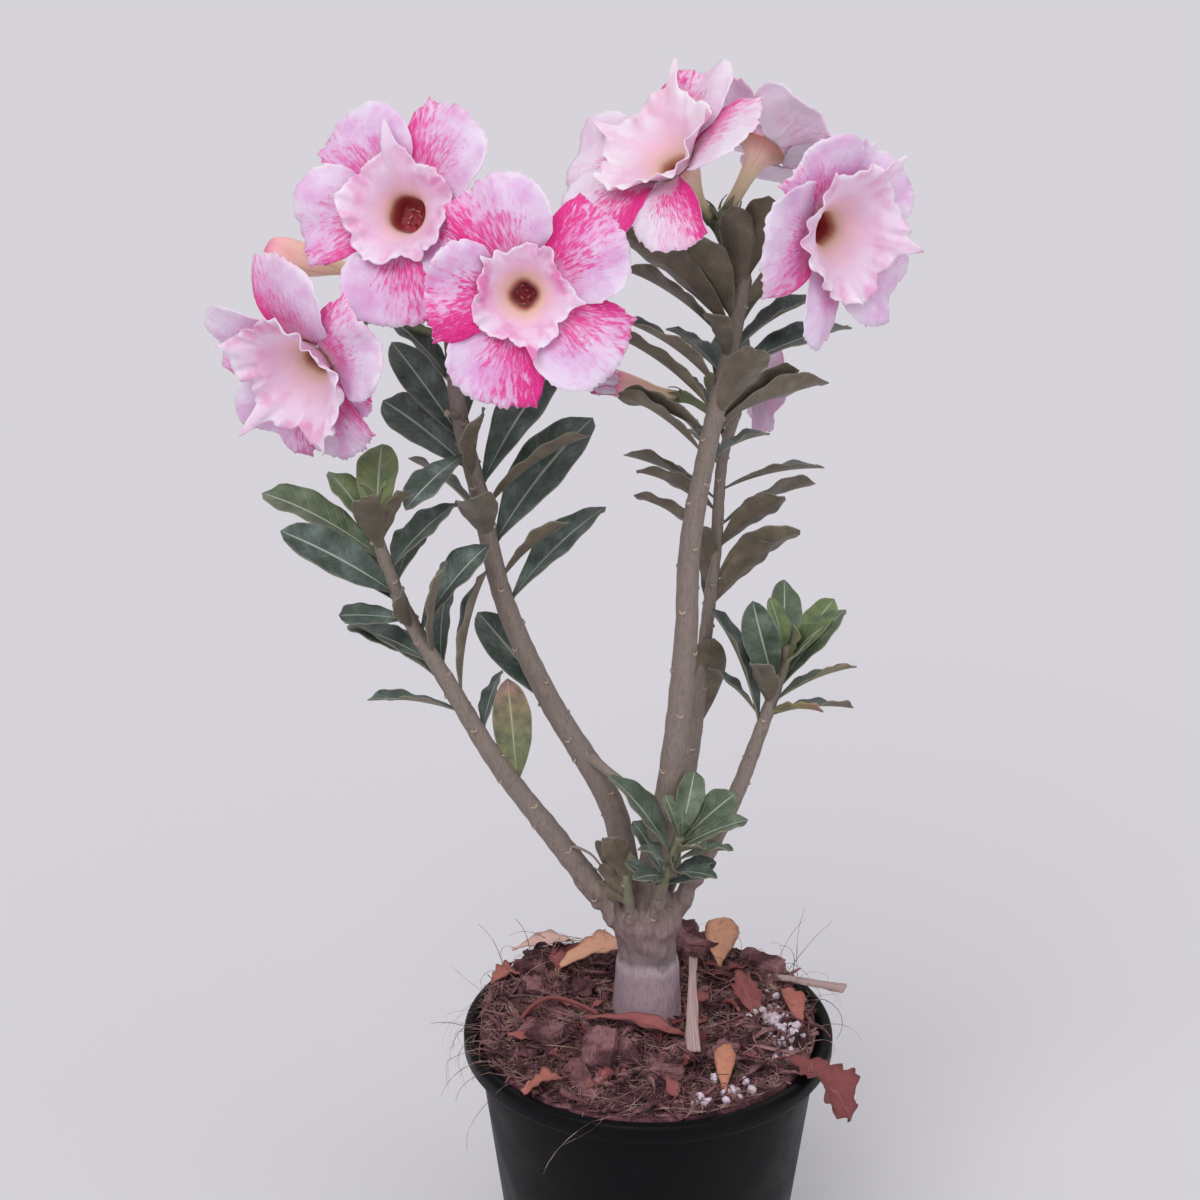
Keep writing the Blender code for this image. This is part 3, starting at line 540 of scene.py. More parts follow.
def addChunk(bm, place, size, layer, cuts):
    # a broken piece of husk: a block whose faces are torn along its length, shaped by itself and then added
    chunk = newSheets()
    looks = chunk.verts.layers.float_color["look"]
    bmesh.ops.create_cube(chunk, size=1)
    if cuts:
        bmesh.ops.subdivide_edges(chunk, edges=chunk.edges, cuts=cuts, use_grid_fill=True)
    tone = 0.5 + 0.5 * math.sin(7 * layer)
    for vert in chunk.verts:
        block = Vector([vert.co[k] * size[k] for k in range(3)])
        torn = grain((block.x / 3, block.y, block.z), 1.8, layer)
        torn += 0.8 * grain((block.x / 6, block.y, block.z), 0.9, layer)
        ends = 2.5 * grain((0, block.y, block.z), 2.2, layer) * min(1, cuts)
        rounded = 1 - 0.35 * max(0, vert.co.length - 0.5)
        vert.co = place @ (block * rounded + Vector((ends * vert.co.x, torn, torn * 1.2)) * 0.8)
        vert[looks] = (0, 0.15 + 0.45 * tone, tone, 0)
    mesh = bpy.data.meshes.new("chunk")
    chunk.to_mesh(mesh)
    chunk.free()
    bm.from_mesh(mesh)
    bpy.data.meshes.remove(mesh)


makeMixBed()
print("mix bed made")


# Loose things on the mix. Each reach is how far from the pot's axis they are strewn.
litter = {
    "flakeSeed": 21,
    "flakeCount": 480,
    "flakeReach": 67.5,
    "flakeSizes": [(2.5, 8), (1.5, 4), (0.5, 1.4)],
    "flakeLift": 1.4,
    "stripSeed": 22,
    "stripCount": 480,
    "stripReach": 66,
    "stripEdge": 67,  # from where a strip rises over the lip
    "stripLengths": (6, 24),
    "stripWidths": (0.4, 2.4),
    "stripThickness": 0.3,
    "hairSeed": 23,
    "hairCount": 2400,
    "hairReach": 67,
    "hairLengths": (8, 36),
    "hairRadii": (0.07, 0.17),
    "hairSteps": 8,
    # wisps of fibre that hang over or stand above the rim: heading of the place, distance out and count
    "wisps": [
        (188, 63, 46), (212, 65, 22), (166, 62, 20), (20, 62, 22), (346, 66, 8), (52, 58, 18),
        (118, 58, 18), (258, 67, 3),
    ],
    "wispReach": 84,
    # long fibres that stand or hang by themselves: foot, heading, rise, length, sideways curl and sag
    "strays": [
        (58, 38, 20, 50, 32, 0.3, 0.0), (54, 42, 40, 62, 24, -0.2, 0.0), (63, 30, 110, 66, 34, -0.8, 0.0),
        (66, 20, 352, 5, 30, 0.5, 0.2), (60, 36, 60, 30, 26, 1.2, 0.05), (-66, -8, 178, 14, 26, -0.6, 0.03),
        (-62, -30, 192, -6, 26, 0.4, 0.05), (-52, -46, 214, -20, 36, 0.2, 0.04),
        (-60, 30, 170, 78, 28, 0.5, 0.0), (-50, 42, 200, 80, 20, 0.3, 0.0),
        (-24, -64, 262, -30, 22, 0.1, 0.2), (-5, -66, 194, -6, 46, 0.5, 0.03),
        (-40, 50, 150, 40, 22, 1.0, 0.05), (66, -6, 20, 35, 24, -1.1, 0.1),
    ],
    "strayRadius": 0.19,
    "strayReach": 92,
    "perliteSeed": 24,
    "perliteReach": 64,
    "perliteSizes": (0.8, 1.9),
    "perlitePits": 0.45,  # how rough a grain is, as a share of its radius
    # middle, spread and count of each patch of perlite
    "perlitePatches": [
        ((51, 17), 3, 7), ((54, 5), 5, 28), ((55, -9), 5, 30), ((56, -20), 4, 10), ((26, -43), 2, 5),
        ((37, -45), 3, 6), ((25, -54), 4, 9), ((31, -49), 3, 4), ((20, -58), 2, 3), ((45, 6), 6, 6),
    ],
}


def litterPlace(draw, reach):
    # a place on the mix, evenly spread, outside the trunk
    while True:
        turn, away = draw.uniform(0, math.tau), reach * math.sqrt(draw.random())
        x, y = away * math.cos(turn), away * math.sin(turn)
        if math.hypot(x - trunkFoot.x, y - trunkFoot.y) > hiddenByTrunk:
            return x, y


def makeFlakes():
    bm = newSheets()
    draw = random.Random(litter["flakeSeed"])
    for k in range(litter["flakeCount"]):
        x, y = litterPlace(draw, litter["flakeReach"])
        size = [draw.uniform(*limits) for limits in litter["flakeSizes"]]
        turns = [draw.uniform(-0.5, 0.5), draw.uniform(-0.45, 0.45), draw.uniform(0, math.pi)]
        spin = Matrix.Rotation(turns[2], 4, "Z")
        spin @= Matrix.Rotation(turns[1], 4, "Y")
        spin @= Matrix.Rotation(turns[0], 4, "X")
        place = Matrix.Translation((x, y, mixHeight(x, y) + draw.uniform(0, litter["flakeLift"])))
        addChunk(bm, place @ spin, size, k, 0)
    finishPiece("mixFlakes", bm, [mixMaterial])


def makeStrips():
    # shreds of husk, each a thin ribbon that bows up and twists
    bm = newSheets()
    draw = random.Random(litter["stripSeed"])
    for k in range(litter["stripCount"]):
        x, y = litterPlace(draw, litter["stripReach"])
        heading = draw.uniform(0, math.tau)
        length = draw.uniform(*litter["stripLengths"])
        half = draw.uniform(*litter["stripWidths"]) / 2
        bow, twist, bend = draw.uniform(0, 3), draw.uniform(-2.2, 2.2), draw.uniform(-0.9, 0.9)
        lift, tilt = draw.uniform(0.2, 2.2), draw.uniform(-0.16, 0.2)
        tone = (draw.uniform(0, 0.75), draw.random(), 0)

        def rule(u, v):
            along, roll = (v - 0.5) * length, twist * v + bow
            turn = heading + bend * (v - 0.5)
            wide = (2 * u - 1) * half * (1 - 0.75 * abs(2 * v - 1) ** 3)
            px = x + along * math.cos(turn) - wide * math.sin(turn) * math.cos(roll)
            py = y + along * math.sin(turn) + wide * math.cos(turn) * math.cos(roll)
            over = max(0, math.hypot(px, py) - litter["stripEdge"])
            ground = mixHeight(px, py) + min(1.5, over)
            height = ground + lift + bow * (1 - (2 * v - 1) ** 2) + tilt * along + wide * math.sin(roll)
            return Vector((px, py, max(height, ground - 1) + over * 0.2))

        bendSheet(bm, (1, 6), rule, litter["stripThickness"], tone)
    finishPiece("mixStrips", bm, [mixMaterial])


def makeFibreMaterial():
    # Loose coir fibre: dry, wiry hairs from dark brown to straw, each much of one shade.
    material, tree, shader = newMaterial("loose coir fibre")
    place = addNode(tree, "TexCoord", {}).outputs["Object"]
    shade = addNode(
        tree, "TexNoise", {"Vector": place, "Scale": 130, "Detail": 2}
    )  # 8 mm, about a hair's own length
    color = addNode(
        tree, "ValToRGB", {"Fac": shade},
        stops=[(0.36, "#3A2627"), (0.48, "#7A5652"), (0.58, "#A9877D"), (0.7, "#C4A89C")]
    )
    setInputs(tree, shader, {"Base Color": color, "Roughness": 0.7, "Specular IOR Level": 0.35})
    return material


def addHair(curve, point, heading, rise, length, curl, sag, radius, farthest):
    # one fibre from its foot, which curls sideways, sags, and lies on the mix and on the rim
    steps = litter["hairSteps"]
    spline = curve.splines.new("POLY")
    spline.points.add(steps)
    for k in range(steps + 1):
        spline.points[k].co = (*(point * mm), 1)
        spline.points[k].radius = radius * (1 - 0.6 * k / steps)
        heading += curl / steps
        rise -= sag + 0.02 * k
        point = point + facing(math.degrees(heading), math.degrees(rise)) * length / steps
        away = math.hypot(point.x, point.y)
        if away > farthest:
            point.x, point.y = point.x * farthest / away, point.y * farthest / away
        if away < rimOutside:
            floor = mixHeight(point.x, point.y) + 0.4 if away < rimInside else overRim
            point.z = max(point.z, floor)


def makeHairs():
    # coir hairs, matted over the mix and hanging in wisps at the rim
    curve = bpy.data.curves.new("coirHairs", "CURVE")
    curve.dimensions = "3D"
    curve.bevel_depth = mm
    curve.bevel_resolution = 0
    curve.use_fill_caps = True
    draw = random.Random(litter["hairSeed"])
    starts = [(*litterPlace(draw, litter["hairReach"]), 0) for k in range(litter["hairCount"])]
    for heading, away, count in litter["wisps"]:
        for k in range(count):
            turn = math.radians(heading + draw.uniform(-13, 13))
            out = away + draw.uniform(-6, 2)
            starts.append((out * math.cos(turn), out * math.sin(turn), 1))
    for x, y, wisp in starts:
        heading, length = draw.uniform(0, math.tau), draw.uniform(*litter["hairLengths"])
        rise, curl = draw.gauss(0, 0.16), draw.uniform(-1.7, 1.7)
        if wisp:
            heading, rise = math.atan2(y, x) + draw.uniform(-2.2, 2.2), draw.uniform(-0.1, 0.9)
            curl, length = 1.9 * curl, 1.15 * length
        foot = Vector((x, y, mixHeight(x, y) + draw.uniform(0.3, 2.6)))
        radius = draw.uniform(*litter["hairRadii"])
        sag, farthest = (0.1, litter["wispReach"]) if wisp else (0.04, rimInside)
        addHair(curve, foot, heading, rise, length, curl, sag, radius, farthest)
    for x, y, heading, rise, length, curl, sag in litter["strays"]:
        foot = Vector((x, y, mixHeight(x, y) + 1))
        addHair(
            curve, foot, math.radians(heading), math.radians(rise), length, curl, sag,
            litter["strayRadius"], litter["strayReach"]
        )
    hairs = bpy.data.objects.new("coirHairs", curve)
    curve.materials.append(makeFibreMaterial())
    bpy.context.scene.collection.objects.link(hairs)
    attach(hairs, "root")


def makePerlite():
    # Expanded volcanic glass: white, chalky and pitted grains that catch the light. The pinkish grey in their
    # pits is painted shade.
    material, tree, shader = newMaterial("expanded perlite")
    place = addNode(tree, "TexCoord", {}).outputs["Object"]
    pits = addNode(
        tree, "TexNoise", {"Vector": place, "Scale": 900, "Detail": 3, "Roughness": 0.6}
    )  # 1 mm pits
    # painted shade: pinkish grey where the pits of the bump sink in
    color = addNode(
        tree, "ValToRGB", {"Fac": pits}, stops=[(0.3, "#B29CA8"), (0.5, "#D2C0CC"), (0.7, "#E6D8E1")]
    )
    bump = addNode(tree, "Bump", {"Height": pits, "Strength": 0.3, "Distance": 0.0003})
    setInputs(tree, shader, {
        "Base Color": color,
        "Roughness": 0.85,
        "IOR": 1.5,
        "Normal": bump,
    })
    bm = bmesh.new()
    draw = random.Random(litter["perliteSeed"])
    farthest = litter["perliteReach"]
    for (x, y), spread, count in litter["perlitePatches"]:
        for k in range(count):
            px, py = draw.gauss(x, spread * 0.75), draw.gauss(y, spread * 0.75)
            away = math.hypot(px, py)
            if away > farthest:
                px, py = px * farthest / away, py * farthest / away
            size = draw.uniform(*litter["perliteSizes"])
            place = Matrix.Translation((px, py, mixHeight(px, py) + size * 0.5 + draw.uniform(0, 0.8)))
            verts = bmesh.ops.create_icosphere(bm, subdivisions=2, radius=size, matrix=place)["verts"]
            for vert in verts:
                vert.co += (vert.co - place.translation) * litter["perlitePits"] * grain(vert.co, 1.4, k)
    finishPiece("perlite", bm, [material])


makeFlakes()
makeStrips()
makeHairs()
makePerlite()
print("litter on the mix made")


# Wood

caudex = [  # radius and height, from the root tip up to the head that the branches leave
    (0, 60), (3, 61), (7, 74), (12, 92), (15.6, 110), (15.4, 122), (14.2, 131), (13.4, 140), (12.9, 149),
    (12.7, 154), (11.5, 158), (11.3, 163), (12.4, 169), (13.6, 174), (12.6, 180), (7, 185), (0, 186),
]
branches = {
    "left_low": {
        "points": [(-3, 5, 166), (-15, 3, 181), (-38, -4, 217), (-59, -11, 251), (-75, -16, 283),
                   (-92, -19, 317), (-102, -20, 348)],
        "radii": (5.2, 2.4),
        "leafyFrom": 0.36,
    },
    "left_tall": {
        "points": [(-1, 9, 165), (-8, 11, 190), (-16, 13, 224), (-40, 14, 267), (-57, 13, 309),
                   (-65, 10, 350), (-72, 7, 384), (-75, 10, 420)],
        "radii": (5.6, 2.8),
        "leafyFrom": 0.33,
    },
    "centre_tall": {
        "points": [(1, 7, 165), (1, 4, 198), (8, 0, 239), (13, -3, 295), (14, -3, 335), (20, -3, 374),
                   (27, -2, 408), (33, 2, 440)],
        "radii": (5.8, 2.9),
        "leafyFrom": 0.70,
    },
    "centre_back": {
        "points": [(5, 15, 166), (11, 24, 206), (17, 30, 239), (21, 34, 280), (25, 37, 322),
                   (27, 38, 358), (33, 38, 380)],
        "radii": (3.6, 2.0),
        "leafyFrom": 0.33,
    },
    "right_low": {
        "points": [(5, 8, 166), (17, 9, 190), (33, 11, 225), (44, 13, 257), (51, 13, 281), (53, 12, 291)],
        "radii": (4.2, 2.2),
        "leafyFrom": 0.66,
    },
    "front_short": {
        "points": [(1, 0, 172), (5, -10, 198), (8, -14, 208), (12, -17, 223)],
        "radii": (3.0, 1.8),
        "leafyFrom": 0.42,
    },
    "basal": {
        "points": [(-6, 0, 172), (-8, -6, 190), (-9, -9, 202)],
        "radii": (2.6, 1.6),
        "leafyFrom": 0.42,
    },
}
branchStep = 19  # between the points that a leaf's share of the length is measured along
wood = {
    "voxel": 0.9,
    "caudexSides": 48,
    "stemSides": 20,
    "smoothing": 6,
    "pointsAlong": 40,  # of each bare branch
    "wrinkle": 0.35,
    "knots": 1.6,  # how far the rough head above the graft stands up in knots
    "headFrom": (156, 164),  # heights between which it begins and ends
    "headTo": (205, 184),
    "swelling": 0.25,
    "scarSpacing": 8.2,
    "scarTurn": 137.5,  # degrees from one leaf scar to the next, as leaves grow
    "scarWidth": 2.9,
}


def branchPath(name):
    return smoothPath(branches[name]["points"], branchStep)


def branchRadius(name, share):
    foot, tip = branches[name]["radii"]
    return foot + (tip - foot) * share


def makeBark():
    # Living bark of a succulent: thin, taut skin, grey-brown on old wood and olive-mauve on young, finely
    # stippled and ridged lengthways.
    material, tree, shader = newMaterial("smooth succulent bark")
    place = addNode(tree, "TexCoord", {}).outputs["Object"]
    record = addNode(tree, "Attribute", {}, attribute_name="look")
    look = addNode(tree, "SeparateColor", {"Color": record})
    cloud = addNode(
        tree, "TexNoise", {"Vector": place, "Scale": 110, "Detail": 4, "Roughness": 0.6}
    )  # 9 mm
    stretch = addNode(tree, "Mapping", {"Vector": place, "Scale": (1, 1, 0.22)})
    ridges = addNode(
        tree, "TexNoise", {"Vector": stretch, "Scale": 1100, "Detail": 4, "Roughness": 0.65}
    )  # 0.9 mm ridges
    specks = addNode(
        tree, "TexNoise", {"Vector": place, "Scale": 1500, "Detail": 2, "Roughness": 0.7}
    )  # 0.7 mm
    height = addNode(tree, "SeparateXYZ", {"Vector": place}).outputs["Z"]
    wavy = addNode(tree, "MapRange", {"Value": cloud, "To Min": -0.006, "To Max": 0.006})
    level = addNode(tree, "Math", {0: height, 1: wavy}, operation="ADD")
    zone = addNode(tree, "MapRange", {"Value": level, "From Min": 0.12, "From Max": 0.22})
    # swollen foot, pale graft line, pinkish fibrous head, then the branches
    old = addNode(
        tree, "ValToRGB", {"Fac": zone},
        stops=[(0.0, "#A88F98"), (0.31, "#A38C94"), (0.355, "#A9979D"), (0.385, "#796A6C"),
               (0.5, "#8C7475"), (0.7, "#8B7A73"), (1.0, "#897A73")]
    )
    young = addNode(
        tree, "ValToRGB", {"Fac": cloud}, stops=[(0.35, "#7B7466"), (0.55, "#8B8175"), (0.7, "#96877E")]
    )
    aged = addNode(tree, "MixRGB", {"Fac": look.outputs["Green"], "Color1": old, "Color2": young})
    green = addNode(tree, "MixRGB", {"Fac": look.outputs["Blue"], "Color1": aged, "Color2": "#76825A"})
    lined = addNode(
        tree, "ValToRGB", {"Fac": ridges}, stops=[(0.3, 0.62), (0.48, 0.92), (0.6, 1.0), (0.78, 1.0)]
    )
    shaded = addNode(tree, "MixRGB", {"Fac": 0.85, "Color1": green, "Color2": lined}, blend_type="MULTIPLY")
    spotty = addNode(tree, "ValToRGB", {"Fac": specks}, stops=[(0.62, 0.0), (0.7, 0.5)])
    color = addNode(tree, "MixRGB", {"Fac": spotty, "Color1": shaded, "Color2": "#B0A49B"})
    bump = addNode(tree, "Bump", {"Height": ridges, "Strength": 0.45, "Distance": 0.0005})
    setInputs(tree, shader, {
        "Base Color": color,
        "Roughness": 0.62,
        "IOR": 1.45,
        "Normal": bump,
    })
    return material


def makeScarMaterial():
    # The corky patch that a shed leaf leaves: pale tan, dry and matt.
    material, tree, shader = newMaterial("corky leaf scar")
    place = addNode(tree, "TexCoord", {}).outputs["Object"]
    cork = addNode(tree, "TexNoise", {"Vector": place, "Scale": 1600, "Detail": 3})  # 0.6 mm cork
    color = addNode(
        tree, "ValToRGB", {"Fac": cork}, stops=[(0.35, "#7E6A60"), (0.5, "#A99688"), (0.7, "#C4B2A4")]
    )
    setInputs(tree, shader, {"Base Color": color, "Roughness": 0.85})
    return material


bark = makeBark()
scarMaterial = makeScarMaterial()


def wrinkles(turn, point):
    # faint ridges along a stem and swellings at its old leaf joints
    along = point.z
    return 0.12 * grain((3 * math.cos(turn), 3 * math.sin(turn), along / 6), 1) + 0.12 * math.sin(along / 1.3)


def makeWood():
    bm = newSheets()
    outline = smoothPath([Vector((radius, 0, height)) for radius, height in caudex], 2.5)
    path = [trunkFoot + Vector((0, 0, max(60, point.z))) for point in outline]
    for k in range(1, len(path)):
        path[k].z = max(path[k].z, path[k - 1].z + 0.05)
    rollTube(bm, path, [max(0.2, point.x) for point in outline], wood["caudexSides"])
    for name, branch in branches.items():
        limit = branch["leafyFrom"]
        count = wood["pointsAlong"]
        path = evenPath(smoothPath(branch["points"], 4), 0, limit, count)
        radii = [branchRadius(name, limit * k / (count - 1)) for k in range(count)]
        rollTube(bm, path, radii, wood["stemSides"], relief=wrinkles)
    piece = finishPiece("caudexAndBranches", bm, [bark], ["caudex_and_branches"])
    bakeModifier(piece, "REMESH", mode="VOXEL", voxel_size=wood["voxel"] * mm, use_smooth_shade=True)
    bm = bmesh.new()
    bm.from_mesh(piece.data)
    bmesh.ops.scale(bm, verts=bm.verts, vec=(1 / mm, 1 / mm, 1 / mm))
    for k in range(wood["smoothing"]):
        bmesh.ops.smooth_vert(
            bm, verts=bm.verts, factor=0.5, use_axis_x=True, use_axis_y=True, use_axis_z=True
        )
    bm.normal_update()
    for vert in bm.verts:
        x, y, z = vert.co
        lengthways = grain((x, y, z / 5), 1.6) + 0.7 * grain((x, y, z / 3), 3.5, 1)
        fibrous = ease(*wood["headFrom"], z) * ease(*wood["headTo"], z)
        knots = grain(vert.co, 6, 2) + 0.8 * grain((x, y, z / 4), 2.2, 3)
        rough = wood["wrinkle"] * lengthways * 0.6 + wood["knots"] * knots * fibrous
        vert.co += vert.normal * (rough + wood["swelling"])
    bmesh.ops.scale(bm, verts=bm.verts, vec=(mm, mm, mm))
    bm.to_mesh(piece.data)
    bm.free()
    piece.data.shade_smooth()
    if not piece.data.materials:
        piece.data.materials.append(bark)


def addScar(bm, point, way, out, radius, material):
    # a smile-shaped ridge across the stem where a leaf was shed
    side = way.cross(out).normalized()
    width = wood["scarWidth"] * min(1, radius / 3.5)
    arc = []
    for k in range(6):
        share = 2 * k / 5 - 1
        turn = share * width / 2 / radius
        level = way * 0.45 * width * (share**2 - 0.5)
        arc.append(point + (out * math.cos(turn) + side * math.sin(turn)) * (radius + 0.1) + level)
    rollTube(bm, arc, [0.2, 0.5, 0.6, 0.6, 0.5, 0.2], 6, (0.5, 0.5, 0), material)


def addScars(bm, name, start, end, material):
    # scars in a spiral up a branch, closer together on thin wood
    path = smoothPath(branches[name]["points"], 4)
    total = sum((b - a).length for a, b in zip(path, path[1:]))
    count = int(total * (end - start) / wood["scarSpacing"])
    for k in range(count):
        share = start + (end - start) * (k + 0.5) / count
        point, way = shareOf(path, share)
        turn = math.radians(wood["scarTurn"] * (k + round(100 * start)))
        first = way.orthogonal().normalized()
        out = first * math.cos(turn) + way.cross(first) * math.sin(turn)
        addScar(bm, point, way, out, branchRadius(name, share), material)


def makeBareScars():
    bm = newSheets()
    for name, branch in branches.items():
        addScars(bm, name, 0.12, branch["leafyFrom"], 0)
    finishPiece("leafScars", bm, [scarMaterial])


twigs = {
    # the points of each, its radius at the foot and at the end, and whether its cut end shows pale wood
    "brokenTwig": ([(-26, 13, 243), (-22, 9, 243), (-17, 4, 241), (-12, 0, 239)], (2.4, 1.7), False),
    "driedStalk": ([(-34, -4, 211), (-29, -6, 212.5), (-23, -7, 210), (-19, -7, 205)], (0.7, 0.4), False),
    "cutStub": ([(-71, 6, 384), (-74, 3.5, 385.3), (-76.5, 2, 386.2)], (1.7, 1.4), True),
}


def makeTwigs():
    bm = newSheets()
    for points, (foot, end), cut in twigs.values():
        path = smoothPath(points, 1)
        radii = [foot + (end - foot) * k / (len(path) - 1) for k in range(len(path))]
        rollTube(bm, path, radii, 12, (0.2, 0, 0), 0)
        if cut:
            way = (path[-1] - path[-2]).normalized()
            cutFace = [path[-1] - way * 0.6, path[-1] + way * 0.15]
            rollTube(bm, cutFace, [end * 1.08, end * 0.95], 12, material=1)
    finishPiece("twigs", bm, [bark, scarMaterial])


makeWood()
makeBareScars()
makeTwigs()
print("wood made")


# Leaves

leaves = {  # where each leaves its branch as a share of the length, then its heading, rise and length
    "left_low": [
        (0.42, 125, 82, 44), (0.55, 70, 45, 28), (0.61, 185, 10, 37), (0.63, 60, 68, 52),
        (0.66, 160, 26, 50), (0.70, 90, 35, 40), (0.72, 150, 10, 42), (0.73, 300, 72, 46),
        (0.79, 28, 46, 42), (0.80, 262, 50, 28), (0.82, 172, 0, 27), (0.85, 140, 28, 42),
        (0.87, 200, 35, 52), (0.89, 75, 25, 36), (0.92, 35, 35, 36), (0.94, 160, 22, 54),
        (0.95, 262, 52, 38), (0.96, 135, 38, 38), (0.97, 335, 60, 26), (0.98, 92, 40, 42),
        (0.99, 230, 75, 22), (0.99, 40, 75, 20),
    ],
    "left_tall": [
        (0.39, 145, 40, 50), (0.57, 28, 38, 54), (0.61, 350, 42, 38), (0.66, 34, 44, 64),
        (0.67, 262, 42, 40), (0.70, 150, 30, 40), (0.72, 345, 38, 54), (0.75, 30, 52, 62),
        (0.76, 285, 62, 38), (0.78, 150, 28, 46), (0.81, 235, -20, 38), (0.82, 142, 42, 50),
        (0.84, 90, 45, 38), (0.88, 60, 35, 44), (0.90, 165, 45, 36), (0.93, 25, 30, 58), (0.96, 75, 45, 48),
    ],
    "centre_tall": [
        (0.74, 40, 10, 32), (0.75, 158, 30, 40), (0.76, 120, 15, 30), (0.77, 30, 30, 44),
        (0.78, 150, 12, 40), (0.79, 22, 15, 48), (0.80, 300, 46, 46), (0.81, 165, 34, 48),
        (0.83, 80, 25, 38), (0.84, 200, 38, 46), (0.86, 130, 20, 34), (0.86, 25, 14, 54),
        (0.88, 250, 45, 32), (0.89, 30, 24, 42), (0.90, 150, 28, 50), (0.91, 50, 30, 42),
        (0.92, 198, 42, 60), (0.93, 225, 55, 44), (0.94, 100, 40, 42), (0.95, 345, 36, 36),
        (0.96, 255, 68, 40), (0.97, 60, 50, 38), (0.98, 300, 66, 38),
    ],
    "centre_back": [
        (0.37, 340, 80, 44), (0.60, 95, 35, 34), (0.62, 350, 50, 38), (0.65, 225, 75, 30),
        (0.67, 345, 35, 42), (0.73, 335, 42, 38), (0.74, 158, 24, 38), (0.77, 28, 15, 46),
        (0.80, 195, 30, 38), (0.82, 160, 20, 42), (0.84, 10, 10, 42), (0.88, 110, 10, 36),
        (0.92, 130, 45, 34),
    ],
    "right_low": [
        (0.72, 150, 64, 52), (0.75, 160, 40, 30), (0.77, 15, 0, 36), (0.78, 325, 16, 26),
        (0.80, 250, 55, 30), (0.81, 20, 17, 38), (0.82, 115, 40, 30), (0.84, 30, 42, 44),
        (0.86, 190, 75, 38), (0.88, 325, 55, 34), (0.90, 85, 50, 40), (0.93, 50, 30, 38),
        (0.95, 285, 60, 22), (0.96, 140, 70, 24),
    ],
    "front_short": [
        (0.62, 235, 20, 23), (0.66, 320, 14, 25), (0.72, 225, 38, 22), (0.76, 335, 24, 28),
        (0.80, 158, 48, 41), (0.83, 300, 30, 25), (0.88, 8, 22, 30), (0.92, 62, 40, 25), (0.93, 42, 22, 33),
        (0.96, 68, 56, 28), (0.97, 290, 75, 14), (0.98, 150, 68, 18), (0.50, 212, 42, 22),
        (0.53, 348, 30, 24), (0.56, 285, 55, 18), (0.6, 130, 40, 26),
    ],
    "basal": [
        (0.60, 192, 55, 20), (0.72, 185, 62, 26), (0.80, 290, 70, 18), (0.88, 230, 66, 26),
        (0.5, 170, 25, 18),
    ],
}
leaf = {
    "widthShare": 0.36,
    "widthSpread": 0.15,
    "footTaper": 1.25,
    "tipTaper": 0.74,
    "sunk": 0.3,
    "thickness": 0.45,
    "bend": 28,
    "fold": 20,
    "wave": 1.25,
    "petioleHalfWidth": 1.1,
    "cells": (12, 20),
    "veins": 11,  # on each side of the midrib
    # how young each shoot's tip is, and how far down its youth reaches
    "youth": {
        "left_low": (0.85, 0.95), "left_tall": (0.1, 0.9), "centre_tall": (0.15, 0.93),
        "centre_back": (0.2, 0.8), "right_low": (0.85, 0.76), "front_short": (0.35, 0.5), "basal": (0, 0.5),
    },
    # how far each shoot's leaves turn their under side to the front, and how much that varies
    "lean": {
        "left_low": (-0.2, 0.6), "left_tall": (0, 0.7), "centre_tall": (0.45, 0.5),
        "centre_back": (0.7, 0.4), "right_low": (0, 0.5), "front_short": (-0.2, 0.3), "basal": (0.3, 0.3),
    },
    # leaves whose upper face is seen from the front: shoot and number, and where the face looks
    "faces": {
        ("left_low", 0): (280, 8), ("left_low", 19): (262, 20), ("right_low", 8): (265, 10),
        ("left_tall", 1): (255, 74), ("left_tall", 3): (262, 64), ("left_tall", 7): (250, 54),
        ("basal", 0): (95, 10), ("basal", 1): (80, 5), ("basal", 3): (96, -10), ("basal", 4): (85, 0),
    },
    # leaves that are turning: shoot and number, and how far gone
    "turning": {
        ("left_low", 0): 0.68, ("right_low", 3): 0.75, ("left_tall", 0): 0.3, ("right_low", 5): 0.45,
        ("right_low", 2): 0.3, ("front_short", 12): 0.3, ("front_short", 13): 0.3, ("basal", 3): 0.4,
        ("basal", 4): 0.4,
    },
}


